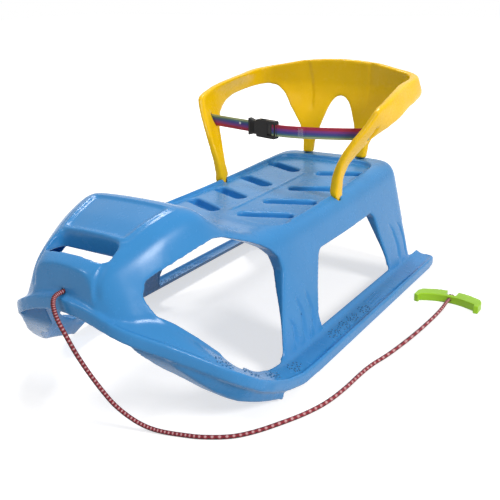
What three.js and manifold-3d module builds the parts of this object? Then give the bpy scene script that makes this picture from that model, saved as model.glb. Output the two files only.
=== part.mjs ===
// A baby pull sled: one moulded sled body, a lift-off backrest with a buckled lap belt,
// and a braided pull cord with a grip. Millimetres, +Z up, nose at -Y, X = 0 is the symmetry plane.
import * as THREE from 'three';
import { mergeVertices } from 'three/addons/utils/BufferGeometryUtils.js';
import { TessellateModifier } from 'three/addons/modifiers/TessellateModifier.js';
import Module from 'manifold-3d';

const wasm = await Module();
wasm.setup();

// Overall sizes of the sled body
const halfLength = 400;
const halfWidth = 207;
const wall = 4;
const gap = 0.3;
const meshTolerance = gap / 6;
const overrun = 30;

// Flange and outer lip round the foot of the body
const lipHeight = 19;
const lipNoseHeight = 187;
const lipDepth = 19;
const lipThickness = 4.5;
const troughDepth = 6;
const footHalfWidth = 168;
const footHeight = 24;
const footNoseHeight = 172;

// Hood and deck
const deckHalfWidth = 126;
const deckHeight = 201;
const hoodHeight = 277;
const shoulderRadius = 24;
const topCrown = 4;
const noseLean = 4;
const rearCornerRadius = 30;
const rearTopRadius = 14;
const bodyRear = 372;

// Seat recess in the deck and its slanted pockets
const seatHalfWidth = 114;
const seatRearHalfWidth = 100;
const seatFront = -80;
const seatRear = 328;
const seatCornerRadius = 40;
const seatDepth = 8;
const pocketLength = 88;
const pocketWidth = 22;
const pocketDepth = 12;
const pocketX = 60;
const pocketYs = [-14, 65, 150, 254];
const pocketSlant = THREE.MathUtils.degToRad(26);

// Handle slot and panel in the hood
const slotHalfWidth = 52;
const slotFront = -369;
const slotRear = -335;
const slotCornerRadius = 13;
const slotCollarBottom = 223;
const panelFront = -328;
const panelRear = -258;
const panelFrontHalfWidth = 49;
const panelRearHalfWidth = 62;
const panelDepth = 2.5;
const panelCornerRadius = 8;

// Windows in the side walls and their inward return flanges
const returnDepth = 18;
const rearOpeningHalfWidth = 128;
const rearOpeningTopHalfWidth = 102;
const rearOpeningTop = 152;
const rearOpeningReach = 40;
const rearOpeningCornerRadius = 26;

// Cord hole through the nose
const cordDiameter = 6;
const cordHoleRadius = cordDiameter / 2 + gap;
const cordHoleHeight = 192;
const knotRadius = 8;

// Backrest shell
const shellThickness = 14;
const shellHalfWidth = 182;
const shellRear = 381;
const shellTop = 396;
const shellWalk = 395;
const shellWalkSteps = 200;
const shellEdgeLength = 26;
const shellSplitRounds = 24;
const frontFootX = 115;
const frontFootY = 122;
const rearFootX = 57;
const rearFootY = 349;
const pegRadius = 7.5;
const pegLength = 20;
const pegHoleRadius = 8.2;
const pegBossRadius = 13;

// Lap belt and its side-release buckle
const beltWidth = 20;
const beltThickness = 1.6;
const beltSlotX = 158;
const beltSlotY = 157;
const beltSlotZ = 300;
const beltSlotWidth = 24;
const beltSlotThickness = 5;
const beltHemLength = 9;
const beltHemThickness = 5;
const beltHemGap = 9;
const buckleEndX = -5;
const buckleEndY = 134;
const buckleEndZ = 296.5;
const plugLength = 62;
const socketLength = 43;
const buckleHeight = 31;
const buckleDepth = 11;
const buckleShell = 1.8;
const earLength = 12;
const prongLength = 19;
const prongHeight = 5.5;
const prongDepth = 5;
const tongueHeight = 5;
const barRadius = 2;
const rivetRadius = 2.2;
const rivetDistance = 71;
const tailEndX = 60;

// Pull handle, lying on the ground
const handleX = 291;
const handleLength = 104;
const handleWidth = 24;
const handleFrontWall = 7;
const handleThickness = 14;
const handleBow = 13;
const handleHook = 16;
const handleRidge = 1.2;

// Small helpers

// A monotone curve through hand-placed points, as a function of the first coordinate
function through(points) {
  const slopes = points.slice(1).map((p, i) => (p[1] - points[i][1]) / (p[0] - points[i][0]));
  const tangents = points.map((_, i) => {
    if (i === 0) return slopes[0];
    if (i === points.length - 1) return slopes[i - 1];
    if (slopes[i - 1] * slopes[i] <= 0) return 0;
    return 2 * slopes[i - 1] * slopes[i] / (slopes[i - 1] + slopes[i]);
  });
  return (at) => {
    if (at <= points[0][0]) return points[0][1];
    const last = points.length - 1;
    if (at >= points[last][0]) return points[last][1];
    const i = points.findIndex((p) => p[0] > at) - 1;
    const span = points[i + 1][0] - points[i][0];
    const t = (at - points[i][0]) / span;
    const rise = points[i][1] * (1 + 2 * t) * (1 - t) ** 2 + points[i + 1][1] * t * t * (3 - 2 * t);
    return rise + span * (tangents[i] * t * (1 - t) ** 2 - tangents[i + 1] * t * t * (1 - t));
  };
}

// A curve along Y: its points are shares of the half length, its values shares of a size above a base
function alongSled(shares, size, base = 0) {
  return through(shares.map(([y, share]) => [y * halfLength, base + share * size]));
}

function toManifold(geometry) {
  const bare = geometry.clone();
  bare.deleteAttribute('normal');
  bare.deleteAttribute('uv');
  const merged = mergeVertices(bare);
  const mesh = new wasm.Mesh({
    numProp: 3,
    vertProperties: new Float32Array(merged.attributes.position.array),
    triVerts: new Uint32Array(merged.index.array),
  });
  return new wasm.Manifold(mesh);
}

function toGeometry(manifold) {
  const mesh = manifold.getMesh();
  const geometry = new THREE.BufferGeometry();
  geometry.setAttribute('position', new THREE.BufferAttribute(new Float32Array(mesh.vertProperties), 3));
  geometry.setIndex(new THREE.BufferAttribute(new Uint32Array(mesh.triVerts), 1));
  geometry.computeVertexNormals();
  return geometry;
}

function signedVolume(positions, index) {
  const [a, b, c] = [new THREE.Vector3(), new THREE.Vector3(), new THREE.Vector3()];
  let total = 0;
  for (let i = 0; i < index.length; i += 3) {
    a.fromArray(positions, 3 * index[i]);
    b.fromArray(positions, 3 * index[i + 1]);
    c.fromArray(positions, 3 * index[i + 2]);
    total += a.dot(b.cross(c)) / 6;
  }
  return total;
}

// The flat triangles that close a ring of points, turned the ring's own way
function capTriangles(ring) {
  const normal = new THREE.Vector3();
  ring.forEach((p, i) => normal.add(p.clone().cross(ring[(i + 1) % ring.length])));
  const side = new THREE.Vector3(1, 0, 0);
  if (Math.abs(normal.x) > Math.abs(normal.z)) side.set(0, 0, 1);
  const across = side.cross(normal).normalize();
  const up = normal.clone().cross(across).normalize();
  const flat = ring.map((p) => new THREE.Vector2(p.dot(across), p.dot(up)));
  const turns = (a, b, c) => (b.x - a.x) * (c.y - a.y) - (b.y - a.y) * (c.x - a.x);
  return THREE.ShapeUtils.triangulateShape(flat, []).map(([a, b, c]) =>
    (turns(flat[a], flat[b], flat[c]) > 0 ? [a, b, c] : [a, c, b]));
}

// A closed skin over a row of rings that all have the same number of points
function loft(rings) {
  const count = rings[0].length;
  const positions = rings.flat().flatMap((p) => [p.x, p.y, p.z]);
  const index = [];
  for (let r = 0; r + 1 < rings.length; r += 1) {
    for (let k = 0; k < count; k += 1) {
      const a = r * count + k;
      const b = r * count + (k + 1) % count;
      index.push(a, b, a + count, b, b + count, a + count);
    }
  }
  const end = (rings.length - 1) * count;
  for (const [a, b, c] of capTriangles(rings[0])) index.push(a, c, b);
  for (const [a, b, c] of capTriangles(rings.at(-1))) index.push(end + a, end + b, end + c);
  if (signedVolume(positions, index) < 0) {
    for (let i = 0; i < index.length; i += 3) [index[i], index[i + 1]] = [index[i + 1], index[i]];
  }
  const geometry = new THREE.BufferGeometry();
  geometry.setAttribute('position', new THREE.Float32BufferAttribute(positions, 3));
  geometry.setIndex(index);
  return toManifold(geometry);
}

// An outline in the XY plane raised along Z
function raised(shape, bottom, top, curveSegments = 4) {
  const depth = top - bottom;
  const geometry = new THREE.ExtrudeGeometry(shape, { depth, bevelEnabled: false, curveSegments });
  geometry.translate(0, 0, bottom);
  return toManifold(geometry);
}

// A closed outline of points with every corner rounded by the same radius
function roundedOutline(points, radius) {
  const shape = new THREE.Shape();
  points.forEach((corner, i) => {
    const before = points[(i + points.length - 1) % points.length];
    const after = points[(i + 1) % points.length];
    const reachIn = Math.min(radius, corner.distanceTo(before) / 2);
    const reachOut = Math.min(radius, corner.distanceTo(after) / 2);
    const start = corner.clone().lerp(before, reachIn / corner.distanceTo(before));
    const finish = corner.clone().lerp(after, reachOut / corner.distanceTo(after));
    if (i === 0) shape.moveTo(start.x, start.y);
    else shape.lineTo(start.x, start.y);
    shape.quadraticCurveTo(corner.x, corner.y, finish.x, finish.y);
  });
  shape.closePath();
  return shape;
}

function box(xSize, ySize, zSize, x, y, z) {
  const geometry = new THREE.BoxGeometry(xSize, ySize, zSize);
  geometry.translate(x, y, z);
  return toManifold(geometry);
}

function roundBar(radius, length, sides = 16) {
  return new THREE.CylinderGeometry(radius, radius, length, sides);
}

// The main skin of a solid, without the slivers that joins and cuts can leave inside it
function largestOf(manifold) {
  const clean = manifold.simplify(meshTolerance);
  return clean.decompose().reduce((best, one) => (one.volume() > best.volume() ? one : best));
}

function mirrored(manifold) {
  return manifold.mirror([1, 0, 0]);
}

function bothSides(manifold) {
  return manifold.add(mirrored(manifold));
}

function plastic(color, roughness) {
  return new THREE.MeshStandardMaterial({ color, roughness, metalness: 0 });
}

// Outlines of the sled body, as shares of its half length and of the named sizes
const footWidthShares = [
  [-0.98, 0.31], [-0.97, 0.375], [-0.961, 0.429], [-0.9475, 0.47], [-0.9125, 0.536], [-0.87, 0.589],
  [-0.8375, 0.649], [-0.8075, 0.708], [-0.78, 0.768], [-0.745, 0.833], [-0.6925, 0.893], [-0.6325, 0.94],
  [-0.57, 0.97], [-0.475, 0.994], [-0.375, 1], [1, 1],
];
const footRiseShares = [
  [-0.98, 1.05], [-0.97, 1.007], [-0.961, 0.983], [-0.9475, 0.973], [-0.9125, 0.959], [-0.87, 0.939],
  [-0.8375, 0.899], [-0.8075, 0.831], [-0.78, 0.743], [-0.745, 0.628], [-0.6925, 0.473], [-0.6325, 0.324],
  [-0.57, 0.189], [-0.475, 0.074], [-0.375, 0.02], [-0.275, 0], [1, 0],
];
const shoulderWidthShares = [
  [-0.98, 0.365], [-0.965, 0.40], [-0.945, 0.43], [-0.87, 0.52], [-0.80, 0.59], [-0.75, 0.63], [-0.675, 0.69],
  [-0.60, 0.745], [-0.50, 0.80], [-0.42, 0.855], [-0.30, 0.935], [-0.20, 0.985], [-0.10, 1], [1, 1],
];
const shoulderRiseShares = [
  [-0.98, 0.29], [-0.965, 0.335], [-0.94, 0.385], [-0.87, 0.53], [-0.80, 0.67], [-0.75, 0.77], [-0.675, 0.865],
  [-0.6375, 0.90], [-0.61, 0.895], [-0.58, 0.85], [-0.545, 0.74], [-0.5075, 0.58], [-0.4675, 0.42],
  [-0.4275, 0.303], [-0.3875, 0.197], [-0.3375, 0.092], [-0.2875, 0.026], [-0.2375, 0.0], [0, -0.02],
  [0.45, 0.02], [0.80, 0.08], [1, 0.08],
];
const noseLeanShares = [[-0.98, 1], [-0.93, 0.4], [-0.85, 0], [1, 0]];
const footWidth = alongSled(footWidthShares, footHalfWidth);
const footRise = alongSled(footRiseShares, footNoseHeight - footHeight, footHeight);
const shoulderWidth = alongSled(shoulderWidthShares, deckHalfWidth);
const shoulderRise = alongSled(shoulderRiseShares, hoodHeight - deckHeight, deckHeight);
const leanAt = alongSled(noseLeanShares, noseLean);

// The lip from the nose centre back along one side: width, length and rise shares
const lipShares = [
  [0, -1, 1], [0.097, -0.999, 0.988], [0.203, -0.996, 0.962], [0.29, -0.9925, 0.926], [0.362, -0.986, 0.89],
  [0.42, -0.974, 0.852], [0.469, -0.959, 0.817], [0.556, -0.925, 0.751], [0.647, -0.8875, 0.686],
  [0.729, -0.85, 0.615], [0.792, -0.82, 0.556], [0.855, -0.79, 0.497], [0.913, -0.755, 0.432],
  [0.961, -0.7075, 0.355], [0.9855, -0.6575, 0.272], [0.997, -0.59, 0.189], [1, -0.49, 0.083],
  [1, -0.3825, 0.012], [1, -0.275, 0], [1, 0.3, 0], [1, 0.94, 0], [0.99, 0.975, 0], [0.96, 0.993, 0],
  [0.91, 1, 0],
];
// The foot line that faces each of those lip points
const footLineShares = [
  [0, -0.985, 1.108], [0.107, -0.985, 1.10], [0.226, -0.9825, 1.078], [0.315, -0.9775, 1.047],
  [0.375, -0.97, 1.007], [0.429, -0.961, 0.983], [0.47, -0.9475, 0.973], [0.536, -0.9125, 0.959],
  [0.589, -0.87, 0.939], [0.649, -0.8375, 0.899], [0.708, -0.8075, 0.831], [0.768, -0.78, 0.743],
  [0.833, -0.745, 0.628], [0.893, -0.6925, 0.473], [0.94, -0.6325, 0.324], [0.97, -0.57, 0.189],
  [0.994, -0.475, 0.074], [1, -0.375, 0.02], [1, -0.275, 0], [1, 0.3, 0], [1, 0.94, 0], [1, 0.975, 0],
  [1, 0.993, 0], [1, 1, 0],
];

const bodyNose = footWidthShares[0][0] * halfLength;
const innerDeckShares = [[-0.98, 0], [-0.30, 0], [-0.17, 1], [1, 1]];
const skinDrop = alongSled(innerDeckShares, seatDepth);

// How far a point this near to the rear end is drawn in by a round corner of that radius
function cornerDraw(distance, radius) {
  if (distance >= radius) return 0;
  return radius - Math.sqrt(radius * radius - (radius - Math.max(distance, 0)) ** 2);
}

// One cross-section ring of the body, inset from the outer skin by a wall and dropped at the top
const shoulderReachShare = 0.6;
const crownRiseShare = 0.4;
const shoulderSteps = 5;

function sectionRing(y, inset, drop, bottomDip) {
  const rearDistance = bodyRear - inset - y;
  const draw = cornerDraw(rearDistance, rearCornerRadius - inset);
  const foot = new THREE.Vector2(footWidth(y) - inset - draw, footRise(y));
  const topDraw = cornerDraw(rearDistance, Math.max(rearTopRadius - inset, wall));
  const shoulderTop = shoulderRise(y) - inset - drop - topDraw;
  const shoulder = new THREE.Vector2(shoulderWidth(y) - inset - draw, shoulderTop);
  const down = foot.clone().sub(shoulder).normalize();
  const radius = Math.min(
    shoulderRadius, shoulder.x * shoulderReachShare, shoulder.distanceTo(foot) * shoulderReachShare);
  const start = shoulder.clone().addScaledVector(down, radius);
  const end = new THREE.Vector2(shoulder.x - radius, shoulder.y + topCrown / 2);
  const half = [new THREE.Vector2(foot.x, foot.y - bottomDip), foot, foot.clone().lerp(start, 1 / 2)];
  const corner = new THREE.QuadraticBezierCurve(start, shoulder, end);
  half.push(...corner.getPoints(shoulderSteps));
  half.push(new THREE.Vector2(end.x / 2, end.y + topCrown * crownRiseShare));
  const ring = [...half, new THREE.Vector2(0, end.y + topCrown / 2)];
  for (const p of half.toReversed()) ring.push(new THREE.Vector2(-p.x, p.y));
  const lean = leanAt(y) / (shoulderRise(bodyNose) - footRise(bodyNose));
  return ring.map((p) => new THREE.Vector3(p.x, y + lean * (p.y - foot.y), p.y));
}

// Places of the cross-sections: close together at the nose and the rear corners
const sectionShares = [
  -0.98, -0.97, -0.961, -0.9475, -0.93, -0.9125, -0.87, -0.8375, -0.8075, -0.78, -0.745, -0.6925, -0.66,
  -0.6325, -0.60, -0.57, -0.52, -0.475, -0.42, -0.36, -0.30, -0.24, -0.18, -0.12, 0, 0.2, 0.45, 0.65, 0.80,
];
const rearCornerSteps = 5;

function bodyLoft(inset, drop, bottomDip) {
  const first = bodyNose + inset;
  const last = bodyRear - inset;
  const places = sectionShares.map((share) => share * halfLength).filter((y) => y > first + wall / 2);
  places.unshift(first);
  for (let i = 0; i < rearCornerSteps; i += 1) {
    const turn = (i / rearCornerSteps) * Math.PI / 2;
    places.push(bodyRear - rearCornerRadius + (rearCornerRadius - inset) * Math.sin(turn));
  }
  places.push(last);
  return loft(places.map((y) => sectionRing(y, inset, drop ? skinDrop(y) : 0, bottomDip)));
}

// The side windows as outlines in the YZ plane: length shares and height shares of the deck
const frontWindowShares = [
  [-0.862, 0.935], [-0.858, 0.875], [-0.845, 0.80], [-0.805, 0.735], [-0.755, 0.625], [-0.69, 0.48],
  [-0.62, 0.33], [-0.52, 0.205], [-0.44, 0.15], [-0.355, 0.135], [-0.345, 0.16], [-0.315, 0.315], [-0.28, 0.48],
  [-0.23, 0.71], [-0.235, 0.80], [-0.27, 0.88], [-0.31, 0.935], [-0.355, 0.98], [-0.42, 1.035], [-0.50, 1.10],
  [-0.56, 1.125], [-0.63, 1.11], [-0.72, 1.075], [-0.79, 1.045], [-0.84, 1.01],
];
const rearWindowShares = [
  [-0.048, 0.135], [-0.055, 0.245], [-0.01, 0.475], [0.04, 0.67], [0.065, 0.70], [0.25, 0.695], [0.45, 0.705],
  [0.545, 0.715], [0.575, 0.665], [0.60, 0.45], [0.63, 0.25], [0.635, 0.135],
];

function windowPoints(shares) {
  return shares.map(([y, z]) => new THREE.Vector2(y * halfLength, z * deckHeight));
}

// The same outline moved outwards by a distance, point by point
function offsetPoints(points, distance) {
  const clockwise = THREE.ShapeUtils.area(points) < 0;
  return points.map((p, i) => {
    const before = points[(i + points.length - 1) % points.length];
    const after = points[(i + 1) % points.length];
    const along = after.clone().sub(before).normalize();
    const outward = new THREE.Vector2(along.y, -along.x).multiplyScalar(clockwise ? -distance : distance);
    return p.clone().add(outward);
  });
}

// A prism along X through one side wall, from an outline in the YZ plane
function sidePrism(points, from, to) {
  const depth = to - from;
  const geometry = new THREE.ExtrudeGeometry(new THREE.Shape(points), { depth, bevelEnabled: false });
  geometry.applyMatrix4(new THREE.Matrix4().set(0, 0, 1, from, 1, 0, 0, 0, 0, 1, 0, 0, 0, 0, 0, 1));
  return toManifold(geometry);
}

// The lip and flange strip that runs round the foot of the body, with a shallow trough between lip and body
const crestReachShare = 0.25;
const troughStartShare = 0.4;
const troughEndShare = 0.7;
const troughEndRiseShare = 0.7;
const flangeJoinShare = 0.8;

function flange() {
  const half = lipShares.map((lip, i) => {
    const foot = footLineShares[i];
    const outer = new THREE.Vector3(
      lip[0] * halfWidth, lip[1] * halfLength, lipHeight + lip[2] * (lipNoseHeight - lipHeight));
    const inner = new THREE.Vector3(
      foot[0] * footHalfWidth, foot[1] * halfLength, footHeight + foot[2] * (footNoseHeight - footHeight));
    return { outer, inner };
  });
  const stations = [...half.slice(1).toReversed().map(({ outer, inner }) => ({
    outer: outer.clone().setX(-outer.x),
    inner: inner.clone().setX(-inner.x),
  })), ...half];
  const down = new THREE.Vector3(0, 0, -1);
  const rings = stations.map(({ outer, inner }) => {
    const span = inner.clone().sub(outer);
    const reach = Math.hypot(span.x, span.y);
    const inward = new THREE.Vector3(span.x, span.y, 0).divideScalar(reach);
    const at = (distance, height) => outer.clone().addScaledVector(span, distance / reach)
      .addScaledVector(down, height);
    const trough = troughDepth * Math.min(1, Math.max(0, (reach - 3 * lipThickness) / (2 * lipThickness)));
    const [crestEnd, troughStart, troughEnd] = [
      Math.min(lipThickness, reach * crestReachShare),
      Math.min(2 * lipThickness, reach * troughStartShare),
      Math.max(reach - wall, reach * troughEndShare),
    ];
    const innerTrough = trough * troughEndRiseShare;
    const innerEdge = reach + wall * flangeJoinShare;
    return [
      outer.clone(),
      at(crestEnd, 0),
      at(troughStart, trough),
      at(troughEnd, innerTrough),
      at(innerEdge, 0),
      at(innerEdge, wall),
      at(troughEnd, innerTrough + wall),
      at(troughStart, trough + wall),
      outer.clone().addScaledVector(inward, lipThickness).addScaledVector(down, lipDepth),
      outer.clone().addScaledVector(down, lipDepth),
    ];
  });
  for (const ring of rings) {
    for (const p of ring) p.z = Math.max(p.z, 0);
  }
  return loft(rings);
}

// A runner keel under one side of the flange: outer width, inner width and rise of its sole along the sled
const keelShares = [
  [-0.885, 0.61, 0.32, 0.62], [-0.8775, 0.633, 0.34, 0.58], [-0.8625, 0.667, 0.42, 0.53],
  [-0.84, 0.705, 0.469, 0.47], [-0.81, 0.763, 0.618, 0.39], [-0.78, 0.79, 0.68, 0.32],
  [-0.7325, 0.845, 0.765, 0.23], [-0.705, 0.879, 0.81, 0.19], [-0.67, 0.908, 0.85, 0.155],
  [-0.63, 0.932, 0.884, 0.117], [-0.58, 0.952, 0.91, 0.075], [-0.53, 0.966, 0.925, 0.037],
  [-0.5075, 0.976, 0.935, 0.01],
];
const lipWidthAt = through(lipShares.slice(5, 19).map(([x, y]) => [y * halfLength, x * halfWidth]));
const lipHeightAt = through(lipShares.slice(5, 19).map(([, y, z]) =>
  [y * halfLength, lipHeight + z * (lipNoseHeight - lipHeight)]));

function keelRings(inset) {
  const rings = keelShares.map(([along, outerShare, innerShare, riseShare], i) => {
    const y = along * halfLength + (i === 0 ? inset : 0) + (i === keelShares.length - 1 ? inset : 0);
    const sole = riseShare * lipNoseHeight + inset;
    const outer = outerShare * halfWidth - inset;
    const inner = Math.min(innerShare * halfWidth + inset, outer - wall);
    const lipX = lipWidthAt(y) - lipThickness / 2 - inset / 2;
    const lipZ = lipHeightAt(y) - lipDepth / 2;
    const footX = footWidth(y) - wall * 1.5;
    const footZ = footRise(y) - wall;
    return [
      new THREE.Vector3(lipX, y, Math.max(lipZ, sole + wall)),
      new THREE.Vector3(outer, y, sole),
      new THREE.Vector3(inner, y, sole),
      new THREE.Vector3(Math.min(footX + inset, outer - wall / 2), y, Math.max(footZ, sole + wall)),
    ];
  });
  return rings;
}

function keel() {
  return loft(keelRings(0)).subtract(loft(keelRings(wall)));
}

// The slot that a hand goes through, and its collar
function slotOutline(grow) {
  const points = [
    new THREE.Vector2(-slotHalfWidth - grow, slotRear + grow),
    new THREE.Vector2(-slotHalfWidth - grow, slotFront - grow),
    new THREE.Vector2(slotHalfWidth + grow, slotFront - grow),
    new THREE.Vector2(slotHalfWidth + grow, slotRear + grow),
  ];
  return roundedOutline(points, slotCornerRadius + grow);
}

function seatOutline() {
  const bow = seatCornerRadius / 2;
  const points = [
    new THREE.Vector2(-seatHalfWidth, seatFront), new THREE.Vector2(0, seatFront + bow),
    new THREE.Vector2(seatHalfWidth, seatFront), new THREE.Vector2(seatRearHalfWidth, seatRear),
    new THREE.Vector2(-seatRearHalfWidth, seatRear),
  ];
  return roundedOutline(points, seatCornerRadius);
}

function panelOutline() {
  const points = [
    new THREE.Vector2(-panelRearHalfWidth, panelRear), new THREE.Vector2(-panelFrontHalfWidth, panelFront),
    new THREE.Vector2(panelFrontHalfWidth, panelFront), new THREE.Vector2(panelRearHalfWidth, panelRear),
  ];
  return roundedOutline(points, panelCornerRadius);
}

// One slanted pocket of the seat, as an outline grown by a wall
const pocketRoundShare = 0.9;

function pocketOutline(pocketY, grow) {
  const along = new THREE.Vector2(Math.cos(pocketSlant), Math.sin(pocketSlant));
  const across = new THREE.Vector2(-along.y, along.x);
  const centre = new THREE.Vector2(pocketX, pocketY);
  const halfAlong = pocketLength / 2 + grow;
  const halfAcross = pocketWidth / 2 + grow;
  const corner = (end, side) => centre.clone().addScaledVector(along, end * halfAlong)
    .addScaledVector(across, side * halfAcross);
  const points = [corner(-1, -1), corner(1, -1), corner(1, 1), corner(-1, 1)];
  return roundedOutline(points, halfAcross * pocketRoundShare);
}

// The sockets that the backrest's pegs drop into
const footPlaces = [
  [frontFootX, frontFootY], [-frontFootX, frontFootY], [rearFootX, rearFootY], [-rearFootX, rearFootY],
];

function upright(radius, bottom, top, x, y, sides = 16) {
  const geometry = roundBar(radius, top - bottom, sides);
  geometry.rotateX(Math.PI / 2);
  geometry.translate(x, y, (bottom + top) / 2);
  return toManifold(geometry);
}

function sledBody() {
  const outer = bodyLoft(0, false, 0);
  const seatFloor = bodyLoft(0, true, overrun);
  const panelFloor = bodyLoft(panelDepth, false, overrun);
  let body = outer.subtract(bodyLoft(wall, true, overrun));

  const slotCollar = raised(slotOutline(wall), slotCollarBottom, hoodHeight).intersect(outer);
  body = body.add(slotCollar);

  for (const shares of [frontWindowShares, rearWindowShares]) {
    const points = windowPoints(shares);
    const frame = sidePrism(offsetPoints(points, wall), deckHalfWidth / 3, halfWidth);
    const rim = frame.intersect(outer).subtract(bodyLoft(returnDepth, false, overrun));
    body = body.add(bothSides(rim));
    body = body.subtract(bothSides(sidePrism(points, deckHalfWidth / 4, halfWidth + overrun)));
  }

  const seatTop = deckHeight + overrun;
  const seatCut = raised(seatOutline(), deckHeight / 2, seatTop).subtract(seatFloor);
  const cupFloor = (pocketY) => shoulderRise(pocketY) - seatDepth - pocketDepth;
  for (const pocketY of pocketYs) {
    const cup = raised(pocketOutline(pocketY, wall), cupFloor(pocketY) - wall, seatTop);
    body = body.add(bothSides(cup.intersect(outer)));
  }
  const bossBottom = deckHeight - pegLength - 2 * wall;
  for (const [x, y] of footPlaces) {
    body = body.add(upright(pegBossRadius, bossBottom, seatTop, x, y).intersect(outer));
  }
  body = body.subtract(seatCut);
  for (const pocketY of pocketYs) {
    body = body.subtract(bothSides(raised(pocketOutline(pocketY, 0), cupFloor(pocketY), seatTop)));
  }
  for (const [x, y] of footPlaces) {
    body = body.subtract(upright(pegHoleRadius, deckHeight - pegLength - overrun, seatTop, x, y));
  }
  body = body.subtract(raised(panelOutline(), deckHeight, hoodHeight + overrun).subtract(panelFloor));
  body = body.subtract(raised(slotOutline(0), deckHeight / 2, hoodHeight));

  const rearCut = roundedOutline([
    new THREE.Vector2(-rearOpeningHalfWidth, -overrun), new THREE.Vector2(rearOpeningHalfWidth, -overrun),
    new THREE.Vector2(rearOpeningTopHalfWidth, rearOpeningTop),
    new THREE.Vector2(-rearOpeningTopHalfWidth, rearOpeningTop),
  ], rearOpeningCornerRadius);
  const rearGeometry = new THREE.ExtrudeGeometry(rearCut, {
    depth: 2 * rearOpeningReach, bevelEnabled: false, curveSegments: 4,
  });
  rearGeometry.rotateX(Math.PI / 2);
  rearGeometry.translate(0, bodyRear + rearOpeningReach, 0);
  body = body.subtract(toManifold(rearGeometry));

  body = body.add(flange());
  body = body.add(bothSides(keel()));
  const hole = roundBar(cordHoleRadius, 4 * overrun, 12);
  hole.translate(0, bodyNose, cordHoleHeight);
  return largestOf(body.subtract(toManifold(hole)));
}

// Backrest: a flat outline bent onto a shell that flares upwards, with a rim that leans in again.
// Each level is a height share of the top and its plan curve from the rear centre to the front edge, as shares
// of the shell's half width and of its rear.
const shellWalkShares = [0, 0.101, 0.19, 0.294, 0.395, 0.516, 0.623, 0.724, 0.825, 0.927, 1];
const shellLevels = [
  [0.518, [[0, 0.924], [0.209, 0.921], [0.374, 0.913], [0.505, 0.845], [0.577, 0.761], [0.615, 0.669],
    [0.626, 0.591], [0.632, 0.512], [0.632, 0.433], [0.635, 0.336], [0.632, 0.273]]],
  [0.606, [[0, 0.94], [0.198, 0.937], [0.385, 0.929], [0.527, 0.874], [0.615, 0.787], [0.665, 0.688],
    [0.681, 0.591], [0.676, 0.493], [0.67, 0.399], [0.668, 0.328], [0.665, 0.265]]],
  [0.677, [[0, 0.961], [0.165, 0.958], [0.33, 0.948], [0.495, 0.916], [0.659, 0.853], [0.78, 0.761],
    [0.824, 0.656], [0.808, 0.556], [0.769, 0.457], [0.747, 0.362], [0.714, 0.262]]],
  [0.732, [[0, 0.974], [0.159, 0.971], [0.33, 0.961], [0.516, 0.934], [0.714, 0.885], [0.852, 0.787],
    [0.907, 0.688], [0.901, 0.583], [0.857, 0.478], [0.819, 0.375], [0.775, 0.276]]],
  [0.788, [[0, 0.99], [0.187, 0.984], [0.363, 0.976], [0.56, 0.955], [0.769, 0.911], [0.923, 0.808],
    [0.978, 0.709], [0.978, 0.601], [0.945, 0.493], [0.896, 0.388], [0.852, 0.302]]],
  [0.833, [[0, 0.997], [0.209, 0.995], [0.396, 0.987], [0.604, 0.969], [0.813, 0.927], [0.956, 0.819],
    [1, 0.714], [1, 0.609], [0.973, 0.504], [0.945, 0.399], [0.918, 0.315]]],
  [0.871, [[0, 1], [0.22, 0.997], [0.412, 0.99], [0.632, 0.971], [0.857, 0.942], [0.973, 0.829],
    [0.989, 0.709], [0.989, 0.604], [0.978, 0.499], [0.962, 0.394], [0.934, 0.32]]],
  [0.909, [[0, 0.996], [0.22, 0.993], [0.418, 0.984], [0.626, 0.963], [0.841, 0.934], [0.945, 0.832],
    [0.945, 0.709], [0.951, 0.609], [0.959, 0.514], [0.962, 0.407], [0.94, 0.331]]],
  [1.000, [[0, 0.979], [0.22, 0.976], [0.418, 0.963], [0.593, 0.942], [0.791, 0.906], [0.896, 0.816],
    [0.835, 0.696], [0.868, 0.604], [0.912, 0.504], [0.945, 0.399], [0.934, 0.325]]],
];
const shellSizes = [shellHalfWidth, shellRear];
const shellColumns = shellWalkShares.map((_, i) => shellSizes.map((size, axis) =>
  through(shellLevels.map(([height, curve]) => [height * shellTop, curve[i][axis] * size]))));

// The shell's plan curve at a height, as two functions of the walk share
function shellPlan(height) {
  return [0, 1].map((axis) =>
    through(shellWalkShares.map((walk, i) => [walk, shellColumns[i][axis](height)])));
}

// The wall is thick at the feet, where the pegs hide in it, and in the rim's rear corners
const shellThicknessShares = [[0.50, 1.12], [0.56, 1.1], [0.66, 0.9], [1, 1]];
const pegRootShare = 0.5;
const rimPower = 4;
const cornerThicknessShares = [[0, 1], [0.25, 1.08], [0.45, 1.35], [0.65, 1.08], [1, 1]];
const thicknessAt = through(shellThicknessShares.map(([height, share]) =>
  [height * shellTop, share * shellThickness]));
const cornerThicknessAt = through(cornerThicknessShares);

// The point of the shell at a walk share from the rear centre, a height and a share of the wall outwards
function shellPoint(walkShare, height, outwardShare) {
  const side = walkShare < 0 ? -1 : 1;
  const share = Math.abs(walkShare);
  const [xAt, yAt] = shellPlan(height);
  const step = 1 / shellWalkSteps;
  const from = Math.max(0, share - step);
  const to = Math.min(1, share + step);
  const normal = new THREE.Vector2(yAt(from) - yAt(to), xAt(to) - xAt(from)).normalize();
  const rise = (height / shellTop) ** rimPower;
  const thickness = thicknessAt(height) * (1 + (cornerThicknessAt(share) - 1) * rise);
  return new THREE.Vector3(
    side * (xAt(share) + normal.x * outwardShare * thickness),
    yAt(share) + normal.y * outwardShare * thickness,
    height,
  );
}

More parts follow.
